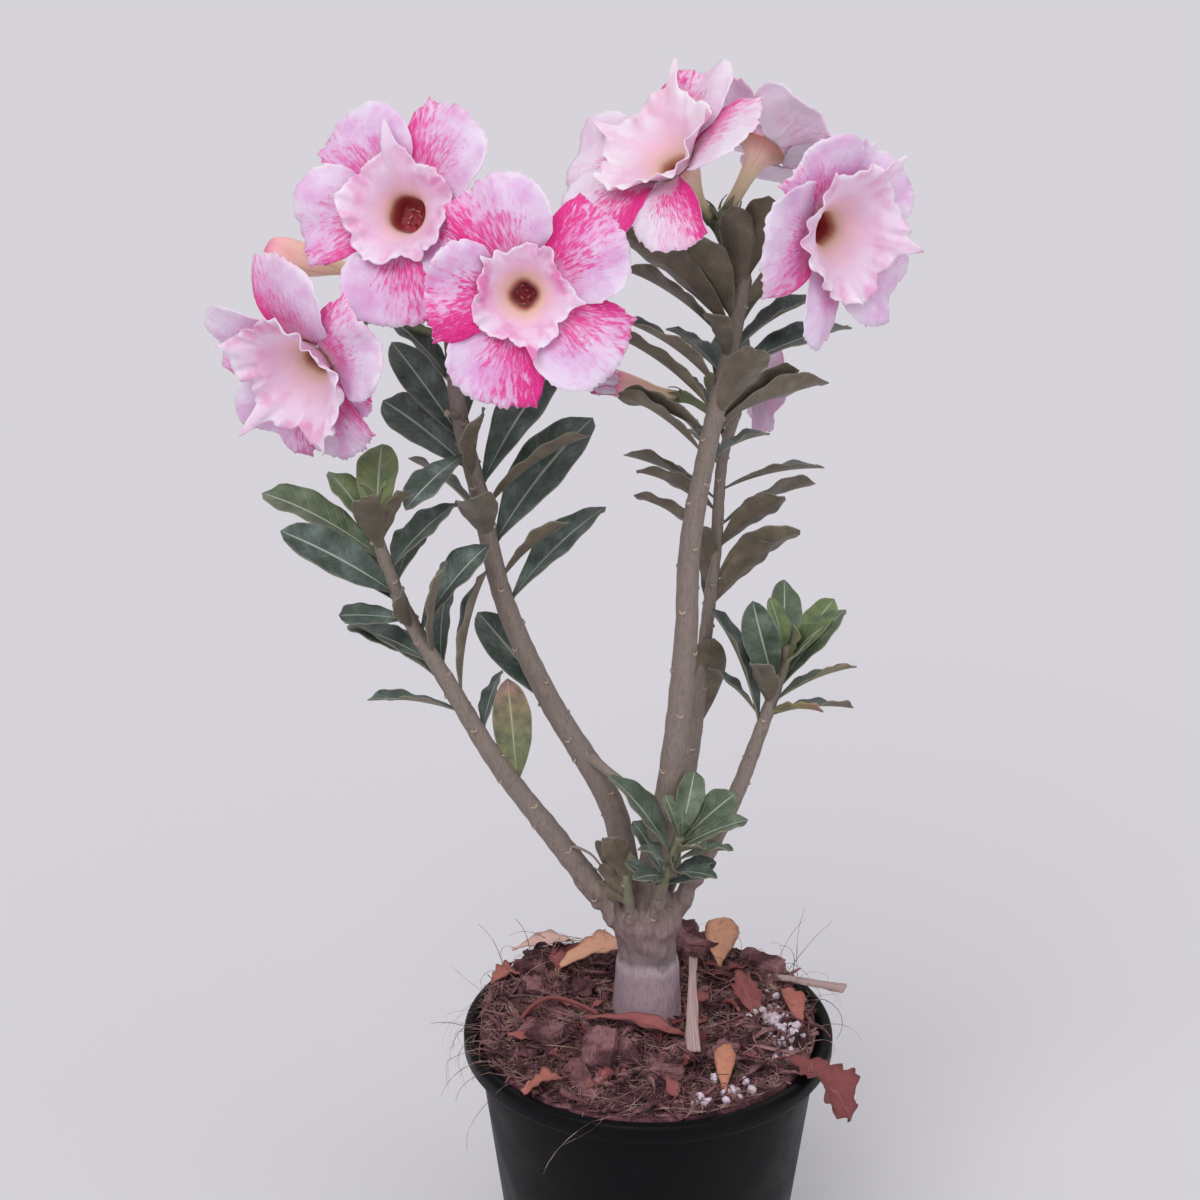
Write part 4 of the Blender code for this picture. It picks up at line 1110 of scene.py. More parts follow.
def makeLeafMaterial():
    # A thick, waxy leaf: dull grey-green above with a pale midrib and fine side veins, olive-brown beneath.
    # The wax gives a broad, soft sheen.
    material, tree, shader = newMaterial("waxy leaf")
    place = addNode(tree, "TexCoord", {})
    record = addNode(tree, "Attribute", {}, attribute_name="look")
    look = addNode(tree, "SeparateColor", {"Color": record})
    flat = addNode(tree, "SeparateXYZ", {"Vector": place.outputs["UV"]})
    off = addNode(tree, "Math", {0: flat.outputs["X"], 1: 0.5}, operation="SUBTRACT")
    away = addNode(tree, "Math", {0: off}, operation="ABSOLUTE")
    blotch = addNode(
        tree, "TexNoise", {"Vector": place.outputs["Object"], "Scale": 130, "Detail": 4, "Roughness": 0.6}
    )  # 8 mm blotches
    fine = addNode(
        tree, "TexNoise", {"Vector": place.outputs["Object"], "Scale": 1300, "Detail": 2}
    )  # 0.8 mm
    # the side veins leave the midrib at an angle, so they follow a line that climbs towards the edge
    climb = addNode(tree, "Math", {0: away, 1: -0.42, 2: flat.outputs["Y"]}, operation="MULTIPLY_ADD")
    count = addNode(tree, "Math", {0: climb, 1: leaf["veins"]}, operation="MULTIPLY")
    toVein = addNode(tree, "Math", {0: count, 1: 0.5}, operation="PINGPONG")
    side = addNode(tree, "ValToRGB", {"Fac": toVein}, stops=[(0.02, 1.0), (0.14, 0.0)])
    mid = addNode(tree, "ValToRGB", {"Fac": away}, stops=[(0.014, 1.0), (0.034, 0.0)])
    edge = addNode(tree, "ValToRGB", {"Fac": away}, stops=[(0.47, 0.0), (0.495, 1.0)])
    upper = addNode(
        tree, "ValToRGB", {"Fac": blotch},
        stops=[(0.3, "#3A463D"), (0.5, "#4D5A53"), (0.62, "#606E68"), (0.75, "#788581")]
    )
    young = addNode(
        tree, "ValToRGB", {"Fac": blotch}, stops=[(0.3, "#56693F"), (0.55, "#71824A"), (0.75, "#8C9756")]
    )
    lower = addNode(
        tree, "ValToRGB", {"Fac": blotch}, stops=[(0.3, "#5A5042"), (0.55, "#706453"), (0.75, "#877C69")]
    )
    faceTone = addNode(tree, "MixRGB", {"Fac": look.outputs["Green"], "Color1": upper, "Color2": young})
    faint = addNode(tree, "MapRange", {"Value": blotch, "From Min": 0.35, "From Max": 0.7, "To Max": 0.4})
    sideVeins = addNode(tree, "Math", {0: side, 1: faint}, operation="MULTIPLY")
    veined = addNode(tree, "MixRGB", {"Fac": sideVeins, "Color1": faceTone, "Color2": "#7F8E84"})
    ribbed = addNode(tree, "MixRGB", {"Fac": mid, "Color1": veined, "Color2": "#A9B2A4"})
    underTone = addNode(
        tree, "MixRGB", {"Fac": look.outputs["Green"], "Color1": lower, "Color2": "#7C854F"}
    )
    turned = addNode(tree, "MixRGB", {"Fac": look.outputs["Red"], "Color1": ribbed, "Color2": underTone})
    edgeTone = addNode(tree, "Math", {0: edge, 1: 0.5}, operation="MULTIPLY")
    edged = addNode(tree, "MixRGB", {"Fac": edgeTone, "Color1": turned, "Color2": "#93907C"})
    # a dying leaf yellows between its veins first, then reddens from the tip
    yellow = addNode(
        tree, "ValToRGB", {"Fac": flat.outputs["Y"]},
        stops=[(0.3, "#8C8F55"), (0.75, "#AD8F5E"), (0.93, "#B47A74")]
    )
    patchy = addNode(tree, "Math", {0: blotch, 1: record.outputs["Alpha"]}, operation="ADD")
    fading = addNode(tree, "MapRange", {"Value": patchy, "From Min": 0.95, "From Max": 1.5})
    color = addNode(tree, "MixRGB", {"Fac": fading, "Color1": edged, "Color2": yellow})
    sunk = addNode(tree, "Math", {0: side, 1: mid}, operation="ADD")
    relief = addNode(tree, "Math", {0: sunk, 1: -0.6, 2: fine}, operation="MULTIPLY_ADD")
    bump = addNode(tree, "Bump", {"Height": relief, "Strength": 0.35, "Distance": 0.0006})
    setInputs(tree, shader, {
        "Base Color": color,
        "Roughness": 0.46,
        "IOR": 1.45,
        "Sheen Weight": 0.12,
        "Sheen Roughness": 0.5,
        "Normal": bump,
    })
    return material


leafMaterial = makeLeafMaterial()


def bladeWidth(t):
    # a leaf's width along its length as a share of the widest: a wedge-shaped foot and a blunt point
    widest = leaf["footTaper"] / (leaf["footTaper"] + leaf["tipTaper"])
    most = widest ** leaf["footTaper"] * (1 - widest) ** leaf["tipTaper"]
    return t ** leaf["footTaper"] * (1 - t) ** leaf["tipTaper"] / most


def addLeaf(
    bm, foot, along, upper, length, bend, widthShare, thickness, look, crumple=0, torn=0, cells=leaf["cells"]
):
    # one blade from its foot, with its chord along a direction and its upper face towards another
    upper = (upper - along * upper.dot(along)).normalized()
    side = along.cross(upper)
    halfTurn = math.radians(bend) / 2
    start = along * math.cos(halfTurn) + upper * math.sin(halfTurn)
    rise = upper * math.cos(halfTurn) - along * math.sin(halfTurn)
    halfWidth = length * widthShare / 2
    phase = length * 0.7
    fold = math.radians(leaf["fold"])

    def rule(u, v):
        u = 2 * u - 1
        t = v**0.85  # more cells near the blunt tip
        turn = 2 * halfTurn * t
        reach = length * math.sin(turn) / (2 * halfTurn)
        drop = length * (1 - math.cos(turn)) / (2 * halfTurn)
        narrow = leaf["petioleHalfWidth"] * ease(1, 0.9, t)
        half = max(halfWidth * bladeWidth(min(t, 1)), narrow)
        if torn:
            edge = (t * length, 9 * (u > 0), phase)
            half *= 1 + torn * (0.8 * grain(edge, 6) + 0.8 * grain(edge, 2.4))
        ripple = 0.5 * u * u * math.sin(26 * t + 3 * u + phase) * ease(0.15, 0.5, t)
        lift = (0.55 * abs(u) + 0.45 * u * u) * half * math.sin(fold)
        lift += leaf["wave"] * u * math.sin(9 * t + phase) * t + ripple
        place = foot + start * reach - rise * drop + side * (u * half * math.cos(fold))
        if crumple:
            lift += crumple * (grain(place - foot, 7, phase) + 0.5 * grain(place - foot, 3, phase))
        normal = rise * math.cos(turn) + start * math.sin(turn)
        return place + normal * lift * ease(1, 0.9, t)

    bendSheet(bm, cells, rule, thickness, look)


# Flower places, used by the stalks and by the flowers themselves

blooms = {
    "bloom_left_low": {"mouth": (-125, -10, 407), "faces": (238, -18), "roll": 20, "stem": "left_tall"},
    "bloom_left_top": {"mouth": (-89, -10, 463), "faces": (254, 20), "roll": 50, "stem": "left_tall"},
    "bloom_left_front": {"mouth": (-45, -39, 440), "faces": (270, 12), "roll": 38, "stem": "left_tall"},
    "bloom_centre": {"mouth": (4, -9, 482), "faces": (222, 48), "roll": 42, "stem": "centre_tall"},
    "bloom_right": {"mouth": (63, -15, 458), "faces": (312, 0), "roll": 49, "stem": "centre_tall"},
    "bloom_behind": {"mouth": (40, 31, 481), "faces": (52, 44), "roll": 0, "stem": "centre_tall"},
    "bloom_back": {
        "mouth": (41, 52, 384), "faces": (20, -12), "roll": 40, "stem": "centre_back", "size": 0.55,
    },
}
buds = {
    "half_open_bud": {
        "mouth": (-15, 37, 389), "faces": (180, 12), "roll": 0, "stem": "centre_back", "size": 0.8,
    },
    "closed_bud": {"mouth": (-137, 21, 441), "faces": (186, 14), "roll": 0, "stem": "left_tall"},
}
stalk = {
    "tubeLength": 31,
    "radius": 1.6,
    "calyxRadius": 2.5,
    "sepalCount": 5,
    "sepalLength": 6.5,
    "sepalWidth": 2.6,
    "sepalThickness": 0.35,
}


def flowerFoot(spec):
    along = facing(*spec["faces"])
    return Vector(spec["mouth"]) - along * stalk["tubeLength"] * spec.get("size", 1), along


def addStalk(bm, start, spec, material):
    # a flower's stalk and calyx, with five narrow sepals that clasp the tube
    foot, along = flowerFoot(spec)
    end = foot - along * gap
    size = spec.get("size", 1)
    path = smoothPath([start, start.lerp(end, 0.5) - along * 3, end - along * 4, end], 1.5)
    swell = [ease(7, 1.5, (point - end).length) for point in path]
    radii = [stalk["radius"] + (stalk["calyxRadius"] - stalk["radius"]) * s for s in swell]
    rollTube(bm, path, radii, 12, (0.6, 0.7, 0), material)
    for k in range(stalk["sepalCount"]):
        spin = Matrix.Rotation(math.tau * k / stalk["sepalCount"], 3, along)
        out = spin @ along.orthogonal().normalized()
        side = along.cross(out)

        def rule(u, v):
            half = stalk["sepalWidth"] / 2 * (1 - v) ** 0.7 * size
            bulge = 0.6 * math.sin(math.pi * v) + 0.5
            climb = along * (v * stalk["sepalLength"] * size - 1)
            clear = stalk["calyxRadius"] * 0.95 * size + bulge
            return foot + climb + side * ((1 - 2 * u) * half) + out * clear

        bendSheet(bm, (2, 5), rule, stalk["sepalThickness"], (0.7, 0.8, 0), material)


def makeShoot(name):
    branch = branches[name]
    path = branchPath(name)
    finePath = smoothPath(branch["points"], 4)
    limit = branch["leafyFrom"]
    bm = newSheets()
    count = round(60 * (1 - limit)) + 10
    stem = evenPath(finePath, limit - 0.02, 1, count)
    radii = [branchRadius(name, limit + (1 - limit) * k / (count - 1)) for k in range(count)]
    radii[-1] *= 0.6
    thin = branch["radii"][0] < 3.5

    def stemLook(u, v):
        # a sprout turns green a little above the old wood
        return (0.35 + 0.4 * thin * ease(0, 0.4, v), 0.55 * thin * ease(0, 0.4, v), 0)

    rollTube(bm, stem, radii, wood["stemSides"], stemLook, 1, wrinkles)
    addScars(bm, name, limit, 1, 2)
    tipYouth, youngFrom = leaf["youth"][name]
    for k, (share, heading, rise, length) in enumerate(leaves[name]):
        pith, upStem = shareOf(path, share)
        along = facing(heading, rise)
        foot = pith + along * branchRadius(name, share) * leaf["sunk"]
        upper = upStem if abs(upStem.dot(along)) < 0.97 else Vector((-along.y, along.x, 0.5))
        lean, vary = leaf["lean"][name]
        upper = upper + Vector((0, lean + vary * math.sin(13 * k), 0))
        if (name, k) in leaf["faces"]:
            upper = facing(*leaf["faces"][name, k])
        widthShare = leaf["widthShare"] * (1 + leaf["widthSpread"] * math.sin(5 * k))
        youthOfLeaf = tipYouth * ease(youngFrom, 1, share + 0.04 * math.sin(3 * k))
        look = (youthOfLeaf, 0.5 + 0.5 * math.sin(11 * k), leaf["turning"].get((name, k), 0))
        addLeaf(bm, foot, along, upper, length, leaf["bend"], widthShare, leaf["thickness"], look)
    stalkStart = path[-1].lerp(path[-2], 0.4)
    for spec in [*blooms.values(), *buds.values()]:
        if spec["stem"] == name:
            addStalk(bm, stalkStart, spec, 1)
    nodeName = "leafy_shoot_" + name
    finishPiece("shoot_" + name, bm, [leafMaterial, bark, scarMaterial], [nodeName])


for shootName in branches:
    makeShoot(shootName)
print("shoots made")


# Flowers

petal = {
    "scale": 0.94,
    # across and along from the middle of its foot, with the pointed corner on the first side
    "outline": [
        (4.8, 1.2), (10.8, 8.5), (14.8, 16.5), (16.6, 25), (15.4, 32.2), (8.5, 35.6), (-1, 36.8),
        (-10.5, 35.2), (-17.5, 30), (-20.4, 22), (-18.6, 12.5), (-11.5, 5), (-4.8, 1.2),
    ],
    "corner": 4,  # which of those points is drawn out to a tip
    "cornerLength": 2.0,
    "cornerReach": 3.2,  # how far from the corner the outline is drawn with it
    "footWidth": 8.4,
    "foot": (8.7, 28.5),
    "opens": (37, -12),
    "cells": (90, 16),
    "thickness": 0.35,
    "pinwheel": -13,
    "curlLength": 34,
    "plainLength": 35,  # over which the ruffle and the pinwheel lift grow to their full size
    "ruffle": 1.5,
    "ruffleSpacing": 4.4,
    "marginWave": 1.1,
    "marginCrumple": 0.7,
    "crease": 0.35,
    "hollow": 0.012,
    "teeth": 0.7,
    "toothSpacing": 0.9,
}
funnel = {
    # radius and height down in the throat, up to where the wall opens
    "throat": [(4.0, 17), (4.5, 20), (5, 23), (6, 26), (8.2, 28.5)],
    "foot": (8.2, 28.5),
    "opens": (56, 8),
    "notch": 13,
    "lobe": 4.2,
    "tip": 4.5,
    "tipPlace": 0.42,  # across the lobe, from 0 to 1
    "tipWidth": 0.1,
    "squareness": 0.07,  # of the throat
    "crease": 1.6,
    "creaseWidth": 0.09,
    "waves": (1.0, 1.2),  # heights of the three broad waves and the five smaller ones round it
    "dimples": 1.1,
    "ruffle": 1.7,
    "pleatCount": 17,
    "rimWander": 1.7,
    "cells": (190, 22),
    "throatShare": 0.3,  # of the cells along
    "thickness": 0.35,
    "teeth": 0.5,
}
tubeOutline = [  # radius and height, up the outside and down into the throat
    (0.2, 0), (2.3, 0.2), (2.5, 5), (2.9, 9), (4.6, 14), (6.8, 19), (8.4, 23.5), (9.3, 26.5), (9.4, 28),
    (8.8, 28.1), (8.2, 26.2), (7.5, 23.5), (6.8, 20), (5.6, 17.5), (0.2, 16.6),
]
slimTube = [  # the same for a flower seen from behind, narrower up to where its petals spread
    (0.2, 0), (2.3, 0.2), (2.5, 8), (2.8, 14), (3.4, 19), (4.3, 22.5), (5.8, 25.2), (8.2, 27.5), (9.1, 28.4),
    (8.7, 28.6), (7.4, 27.5), (5, 25.4), (3.6, 22.8), (0.2, 21),
]
petalCount = 5
antherCount = 7


def makePetalMaterial():
    # Petal tissue: thin, velvety and soft-lit, lilac-white, with magenta along one edge that breaks up into
    # flecks and streaks fanning out from the foot.
    material, tree, shader = newMaterial("velvety petal")
    place = addNode(tree, "TexCoord", {})
    record = addNode(tree, "Attribute", {}, attribute_name="look")
    look = addNode(tree, "SeparateColor", {"Color": record})
    flat = addNode(tree, "SeparateXYZ", {"Vector": place.outputs["UV"]})
    across, along = flat.outputs["X"], flat.outputs["Y"]
    shift = addNode(tree, "Math", {0: look.outputs["Blue"], 1: 19}, operation="MULTIPLY")
    fanned = addNode(tree, "Mapping", {"Vector": place.outputs["UV"], "Scale": (66, 8, 1)})
    offset = addNode(tree, "CombineXYZ", {"X": shift, "Z": shift})
    fanPlace = addNode(tree, "VectorMath", {0: fanned, 1: offset}, operation="ADD")
    streaks = addNode(tree, "TexNoise", {"Vector": fanPlace, "Scale": 1, "Detail": 4, "Roughness": 0.62})
    cloud = addNode(
        tree, "TexNoise", {"Vector": place.outputs["Object"], "Scale": 95, "Detail": 3, "Roughness": 0.55}
    )  # 10 mm clouds of tone
    # the blaze: along the first edge, from a little above the foot out to the corner
    ragged = addNode(tree, "Math", {0: streaks, 1: -0.75, 2: across}, operation="MULTIPLY_ADD")
    wide = addNode(tree, "Math", {0: look.outputs["Green"], 1: -0.2, 2: ragged}, operation="MULTIPLY_ADD")
    blazeEdge = addNode(
        tree, "MapRange", {"Value": wide, "From Min": -0.2, "From Max": -0.36, "To Min": 0, "To Max": 1}
    )
    blazeFoot = addNode(
        tree, "MapRange", {"Value": along, "From Min": 0.1, "From Max": 0.4},
        interpolation_type="SMOOTHSTEP"
    )
    blaze = addNode(tree, "Math", {0: blazeEdge, 1: blazeFoot}, operation="MULTIPLY")
    # flecks over the middle, thinning out towards the rounded margin
    fleckZone = addNode(
        tree, "ValToRGB", {"Fac": along},
        stops=[(0.08, 0.3), (0.35, 0.85), (0.62, 0.75), (0.85, 0.35), (0.97, 0.0)]
    )
    fleckSide = addNode(tree, "ValToRGB", {"Fac": across}, stops=[(0.1, 1.0), (0.6, 0.8), (0.9, 0.25)])
    zone = addNode(tree, "Math", {0: fleckZone, 1: fleckSide}, operation="MULTIPLY")
    fleckLevel = addNode(tree, "Math", {0: streaks, 1: zone}, operation="ADD")
    flecks = addNode(
        tree, "MapRange", {"Value": fleckLevel, "From Min": 1.08, "From Max": 1.32, "To Max": 0.9}
    )
    marked = addNode(tree, "Math", {0: blaze, 1: flecks}, operation="MAXIMUM")
    strength = addNode(
        tree, "Math", {0: marked, 1: look.outputs["Green"]}, operation="MULTIPLY", use_clamp=True
    )
    ground = addNode(
        tree, "ValToRGB", {"Fac": along},
        stops=[(0.0, "#E6B98A"), (0.1, "#EFBDB4"), (0.26, "#F0B6D8"), (0.55, "#EBC8EA"), (0.94, "#EDD6F2"),
               (1.0, "#F8E6F8")]
    )
    tinted = addNode(tree, "ValToRGB", {"Fac": cloud}, stops=[(0.35, "#F2BCE4"), (0.58, "#FFFFFF")])
    groundTone = addNode(
        tree, "MixRGB", {"Fac": 0.7, "Color1": ground, "Color2": tinted}, blend_type="MULTIPLY"
    )
    whiter = addNode(
        tree, "MixRGB", {"Fac": record.outputs["Alpha"], "Color1": groundTone, "Color2": "#F5E9EC"}
    )
    magenta = addNode(
        tree, "ValToRGB", {"Fac": streaks}, stops=[(0.3, "#D3146F"), (0.5, "#E42587"), (0.7, "#EC4A9E")]
    )
    # finer, duller flecks all over the middle
    dustPlace = addNode(tree, "Mapping", {"Vector": fanPlace, "Scale": (1.9, 2.2, 1)})
    dust = addNode(tree, "TexNoise", {"Vector": dustPlace, "Scale": 1, "Detail": 2})
    dustLevel = addNode(tree, "Math", {0: zone, 1: 0.3, 2: dust}, operation="MULTIPLY_ADD")
    dusted = addNode(
        tree, "MapRange", {"Value": dustLevel, "From Min": 0.74, "From Max": 0.9, "To Max": 0.55}
    )
    dusty = addNode(tree, "MixRGB", {"Fac": dusted, "Color1": whiter, "Color2": "#C2528F"})
    # under the blaze the ground itself turns pink little by little
    wash = addNode(
        tree, "MapRange", {"Value": wide, "From Min": 0.02, "From Max": -0.36, "To Max": 0.6},
        interpolation_type="SMOOTHSTEP"
    )
    washFoot = addNode(tree, "Math", {0: wash, 1: blazeFoot}, operation="MULTIPLY")
    washPart = addNode(
        tree, "Math", {0: washFoot, 1: look.outputs["Green"]}, operation="MULTIPLY", use_clamp=True
    )
    washed = addNode(tree, "MixRGB", {"Fac": washPart, "Color1": dusty, "Color2": "#EC70B4"})
    painted = addNode(tree, "MixRGB", {"Fac": strength, "Color1": washed, "Color2": magenta})
    # the under side is paler in itself, and is painted lighter still as painted light where it is turned away
    # from the light
    under = addNode(tree, "Math", {0: look.outputs["Red"], 1: 0.7}, operation="MULTIPLY")
    color = addNode(tree, "MixRGB", {"Fac": under, "Color1": painted, "Color2": "#FAE6FF"})
    veins = addNode(tree, "Bump", {"Height": streaks, "Strength": 0.25, "Distance": 0.0008})
    setInputs(tree, shader, {
        "Base Color": color,
        "Roughness": 0.58,
        "IOR": 1.4,
        "Subsurface Weight": 0.35,
        "Subsurface Radius": (1, 0.55, 0.7),
        "Subsurface Scale": 0.002,
        "Sheen Weight": 0.25,
        "Sheen Roughness": 0.4,
        "Normal": veins,
    })
    return material


def makeFunnelMaterial():
    # The inner flower's tissue: the same velvet, blush and lilac, turning cream and then red-brown down the
    # throat, with a pale rim.
    material, tree, shader = newMaterial("velvety funnel")
    place = addNode(tree, "TexCoord", {})
    record = addNode(tree, "Attribute", {}, attribute_name="look")
    look = addNode(tree, "SeparateColor", {"Color": record})
    flat = addNode(tree, "SeparateXYZ", {"Vector": place.outputs["UV"]})
    fanned = addNode(tree, "Mapping", {"Vector": place.outputs["UV"], "Scale": (60, 3.5, 1)})
    streaks = addNode(tree, "TexNoise", {"Vector": fanned, "Scale": 1, "Detail": 3, "Roughness": 0.6})
    cloud = addNode(
        tree, "TexNoise", {"Vector": place.outputs["Object"], "Scale": 110, "Detail": 3}
    )  # 9 mm clouds
    wavy = addNode(tree, "Math", {0: streaks, 1: 0.05, 2: flat.outputs["Y"]}, operation="MULTIPLY_ADD")
    depth = addNode(
        tree, "ValToRGB", {"Fac": wavy},
        stops=[(0.05, "#A3202F"), (0.16, "#A84040"), (0.22, "#C08A74"), (0.28, "#EEC3B2"),
               (0.36, "#FBC9D2"), (0.6, "#F7CCE6"), (0.95, "#F5D9F2"), (1.0, "#FBE9F6")]
    )
    blush = addNode(tree, "MapRange", {"Value": cloud, "From Min": 0.45, "From Max": 0.67, "To Max": 0.7})
    blushed = addNode(tree, "Math", {0: blush, 1: look.outputs["Green"]}, operation="MULTIPLY")
    outer = addNode(tree, "MapRange", {"Value": flat.outputs["Y"], "From Min": 0.4, "From Max": 0.8})
    blushPart = addNode(tree, "Math", {0: blushed, 1: outer}, operation="MULTIPLY")
    pink = addNode(tree, "MixRGB", {"Fac": blushPart, "Color1": depth, "Color2": "#E86BB0"})
    whitePart = addNode(tree, "Math", {0: record.outputs["Alpha"], 1: outer}, operation="MULTIPLY")
    whiter = addNode(tree, "MixRGB", {"Fac": whitePart, "Color1": pink, "Color2": "#F7ECEF"})
    under = addNode(tree, "Math", {0: look.outputs["Red"], 1: 0.4}, operation="MULTIPLY")
    color = addNode(tree, "MixRGB", {"Fac": under, "Color1": whiter, "Color2": "#F4D2EC"})
    veins = addNode(tree, "Bump", {"Height": streaks, "Strength": 0.2, "Distance": 0.0006})
    setInputs(tree, shader, {
        "Base Color": color,
        "Roughness": 0.55,
        "IOR": 1.4,
        "Subsurface Weight": 0.35,
        "Subsurface Radius": (1, 0.55, 0.6),
        "Subsurface Scale": 0.002,
        "Sheen Weight": 0.25,
        "Sheen Roughness": 0.4,
        "Normal": veins,
    })
    return material


def makeTubeMaterial():
    # The flower tube's fleshy wall: cream at its foot and peach-pink above, with fine rosy veins lengthways.
    # Down inside an open flower it turns crimson, and a shut bud ends in a pink tip.
    material, tree, shader = newMaterial("fleshy flower tube")
    place = addNode(tree, "TexCoord", {})
    flat = addNode(tree, "SeparateXYZ", {"Vector": place.outputs["UV"]})
    lengthways = addNode(tree, "Mapping", {"Vector": place.outputs["UV"], "Scale": (34, 1.6, 1)})
    veins = addNode(tree, "TexNoise", {"Vector": lengthways, "Scale": 1, "Detail": 3, "Roughness": 0.6})
    record = addNode(tree, "Attribute", {}, attribute_name="look")
    look = addNode(tree, "SeparateColor", {"Color": record})
    openTone = addNode(
        tree, "ValToRGB", {"Fac": flat.outputs["Y"]},
        stops=[(0.05, "#B0AE7E"), (0.2, "#D8CFA2"), (0.4, "#E6D3AE"), (0.58, "#EFC9B8"), (0.7, "#C58A78"),
               (0.82, "#A3202F")]
    )
    budTone = addNode(
        tree, "ValToRGB", {"Fac": flat.outputs["Y"]},
        stops=[(0.05, "#B0AE7E"), (0.25, "#F0D2B0"), (0.6, "#F5C9B4"), (0.82, "#F6B8B8"), (0.95, "#EE7FA8")]
    )
    ground = addNode(tree, "MixRGB", {"Fac": look.outputs["Green"], "Color1": openTone, "Color2": budTone})
    rosy = addNode(tree, "MapRange", {"Value": veins, "From Min": 0.5, "From Max": 0.66, "To Max": 0.4})
    color = addNode(tree, "MixRGB", {"Fac": rosy, "Color1": ground, "Color2": "#D77486"})
    bump = addNode(tree, "Bump", {"Height": veins, "Strength": 0.3, "Distance": 0.0006})
    setInputs(tree, shader, {
        "Base Color": color,
        "Roughness": 0.5,
        "IOR": 1.4,
        "Normal": bump,
    })
    return material


petalMaterial = makePetalMaterial()
funnelMaterial = makeFunnelMaterial()
tubeMaterial = makeTubeMaterial()


def curled(foot, opens, reach):
    # distance out and up from the centre line, and the slope, at a reach along a blade that curls evenly
    first, last = (math.radians(a) for a in opens)
    rate = (last - first) / petal["curlLength"]
    slope = first + rate * reach
    out = foot[0] + (math.sin(slope) - math.sin(first)) / rate
    up = foot[1] - (math.cos(slope) - math.cos(first)) / rate
    return out, up, slope


def petalEdge():
    # the petal's outline as points at even steps, with its corner drawn out
    points = [Vector((x, y, 0)) for x, y in petal["outline"]]
    before, after = smoothPath(points[:petal["corner"] + 1], 0.3), smoothPath(points[petal["corner"]:], 0.3)
    path = before + after[1:]
    corner = points[petal["corner"]].copy()
    drawnOut = Vector((0.7, 0.7, 0)) * petal["cornerLength"]
    for point in path:
        away = (point - corner).length
        point += drawnOut * max(0, 1 - away / petal["cornerReach"]) ** 2
    return evenPath(path, 0, 1, petal["cells"][0] + 1)


petalEdgePoints = petalEdge()


def addPetal(bm, turn, shape, look, phase, place):
    # one broad petal round +Z, the way a flower faces; shape holds what differs from the plain petal
    length = shape.get("length", 1) * petal["scale"]
    width = shape.get("width", 1) * petal["scale"]
    opens = (petal["opens"][0] + shape.get("raise", 0), petal["opens"][1] + shape.get("raise", 0))
    foot = shape.get("foot", petal["foot"])
    tilt = math.tan(math.radians(petal["pinwheel"]))
    spin = Matrix.Rotation(turn + math.radians(shape.get("turn", 0)), 3, "Z")

    def rule(u, v):
        edge = petalEdgePoints[round(u * petal["cells"][0])]
        root = Vector(((0.5 - u) * petal["footWidth"], 0, 0))
        flat = root.lerp(edge, v)
        tooth = grain((edge.x, edge.y, phase), petal["toothSpacing"])
        tooth += 0.6 * grain((edge.x, edge.y, phase), 2.6)
        flat *= 1 + petal["teeth"] * tooth * ease(0.8, 1, v) / 20
        across, reach = flat.x * width, flat.y * length
        t = reach / petal["plainLength"]
        out, up, slope = curled(foot, opens, reach)
        lift = tilt * across * t + petal["ruffle"] * t * math.sin(across / petal["ruffleSpacing"] + phase)
        lift += petal["hollow"] * across**2 * (1 - t)
        wave = petal["marginWave"] * math.sin(0.33 * across + 2.3 * phase)
        lift += ease(0.45, 1, v) * (wave + petal["marginCrumple"] * grain((across, reach, phase), 4.5))
        lift += petal["crease"] * grain((across * 2, reach / 2, phase), 3, 1)
        point = Vector((out - lift * math.sin(slope), across, up + lift * math.cos(slope)))
        return place @ (spin @ point)

    bendSheet(bm, petal["cells"], rule, petal["thickness"], look, 0)


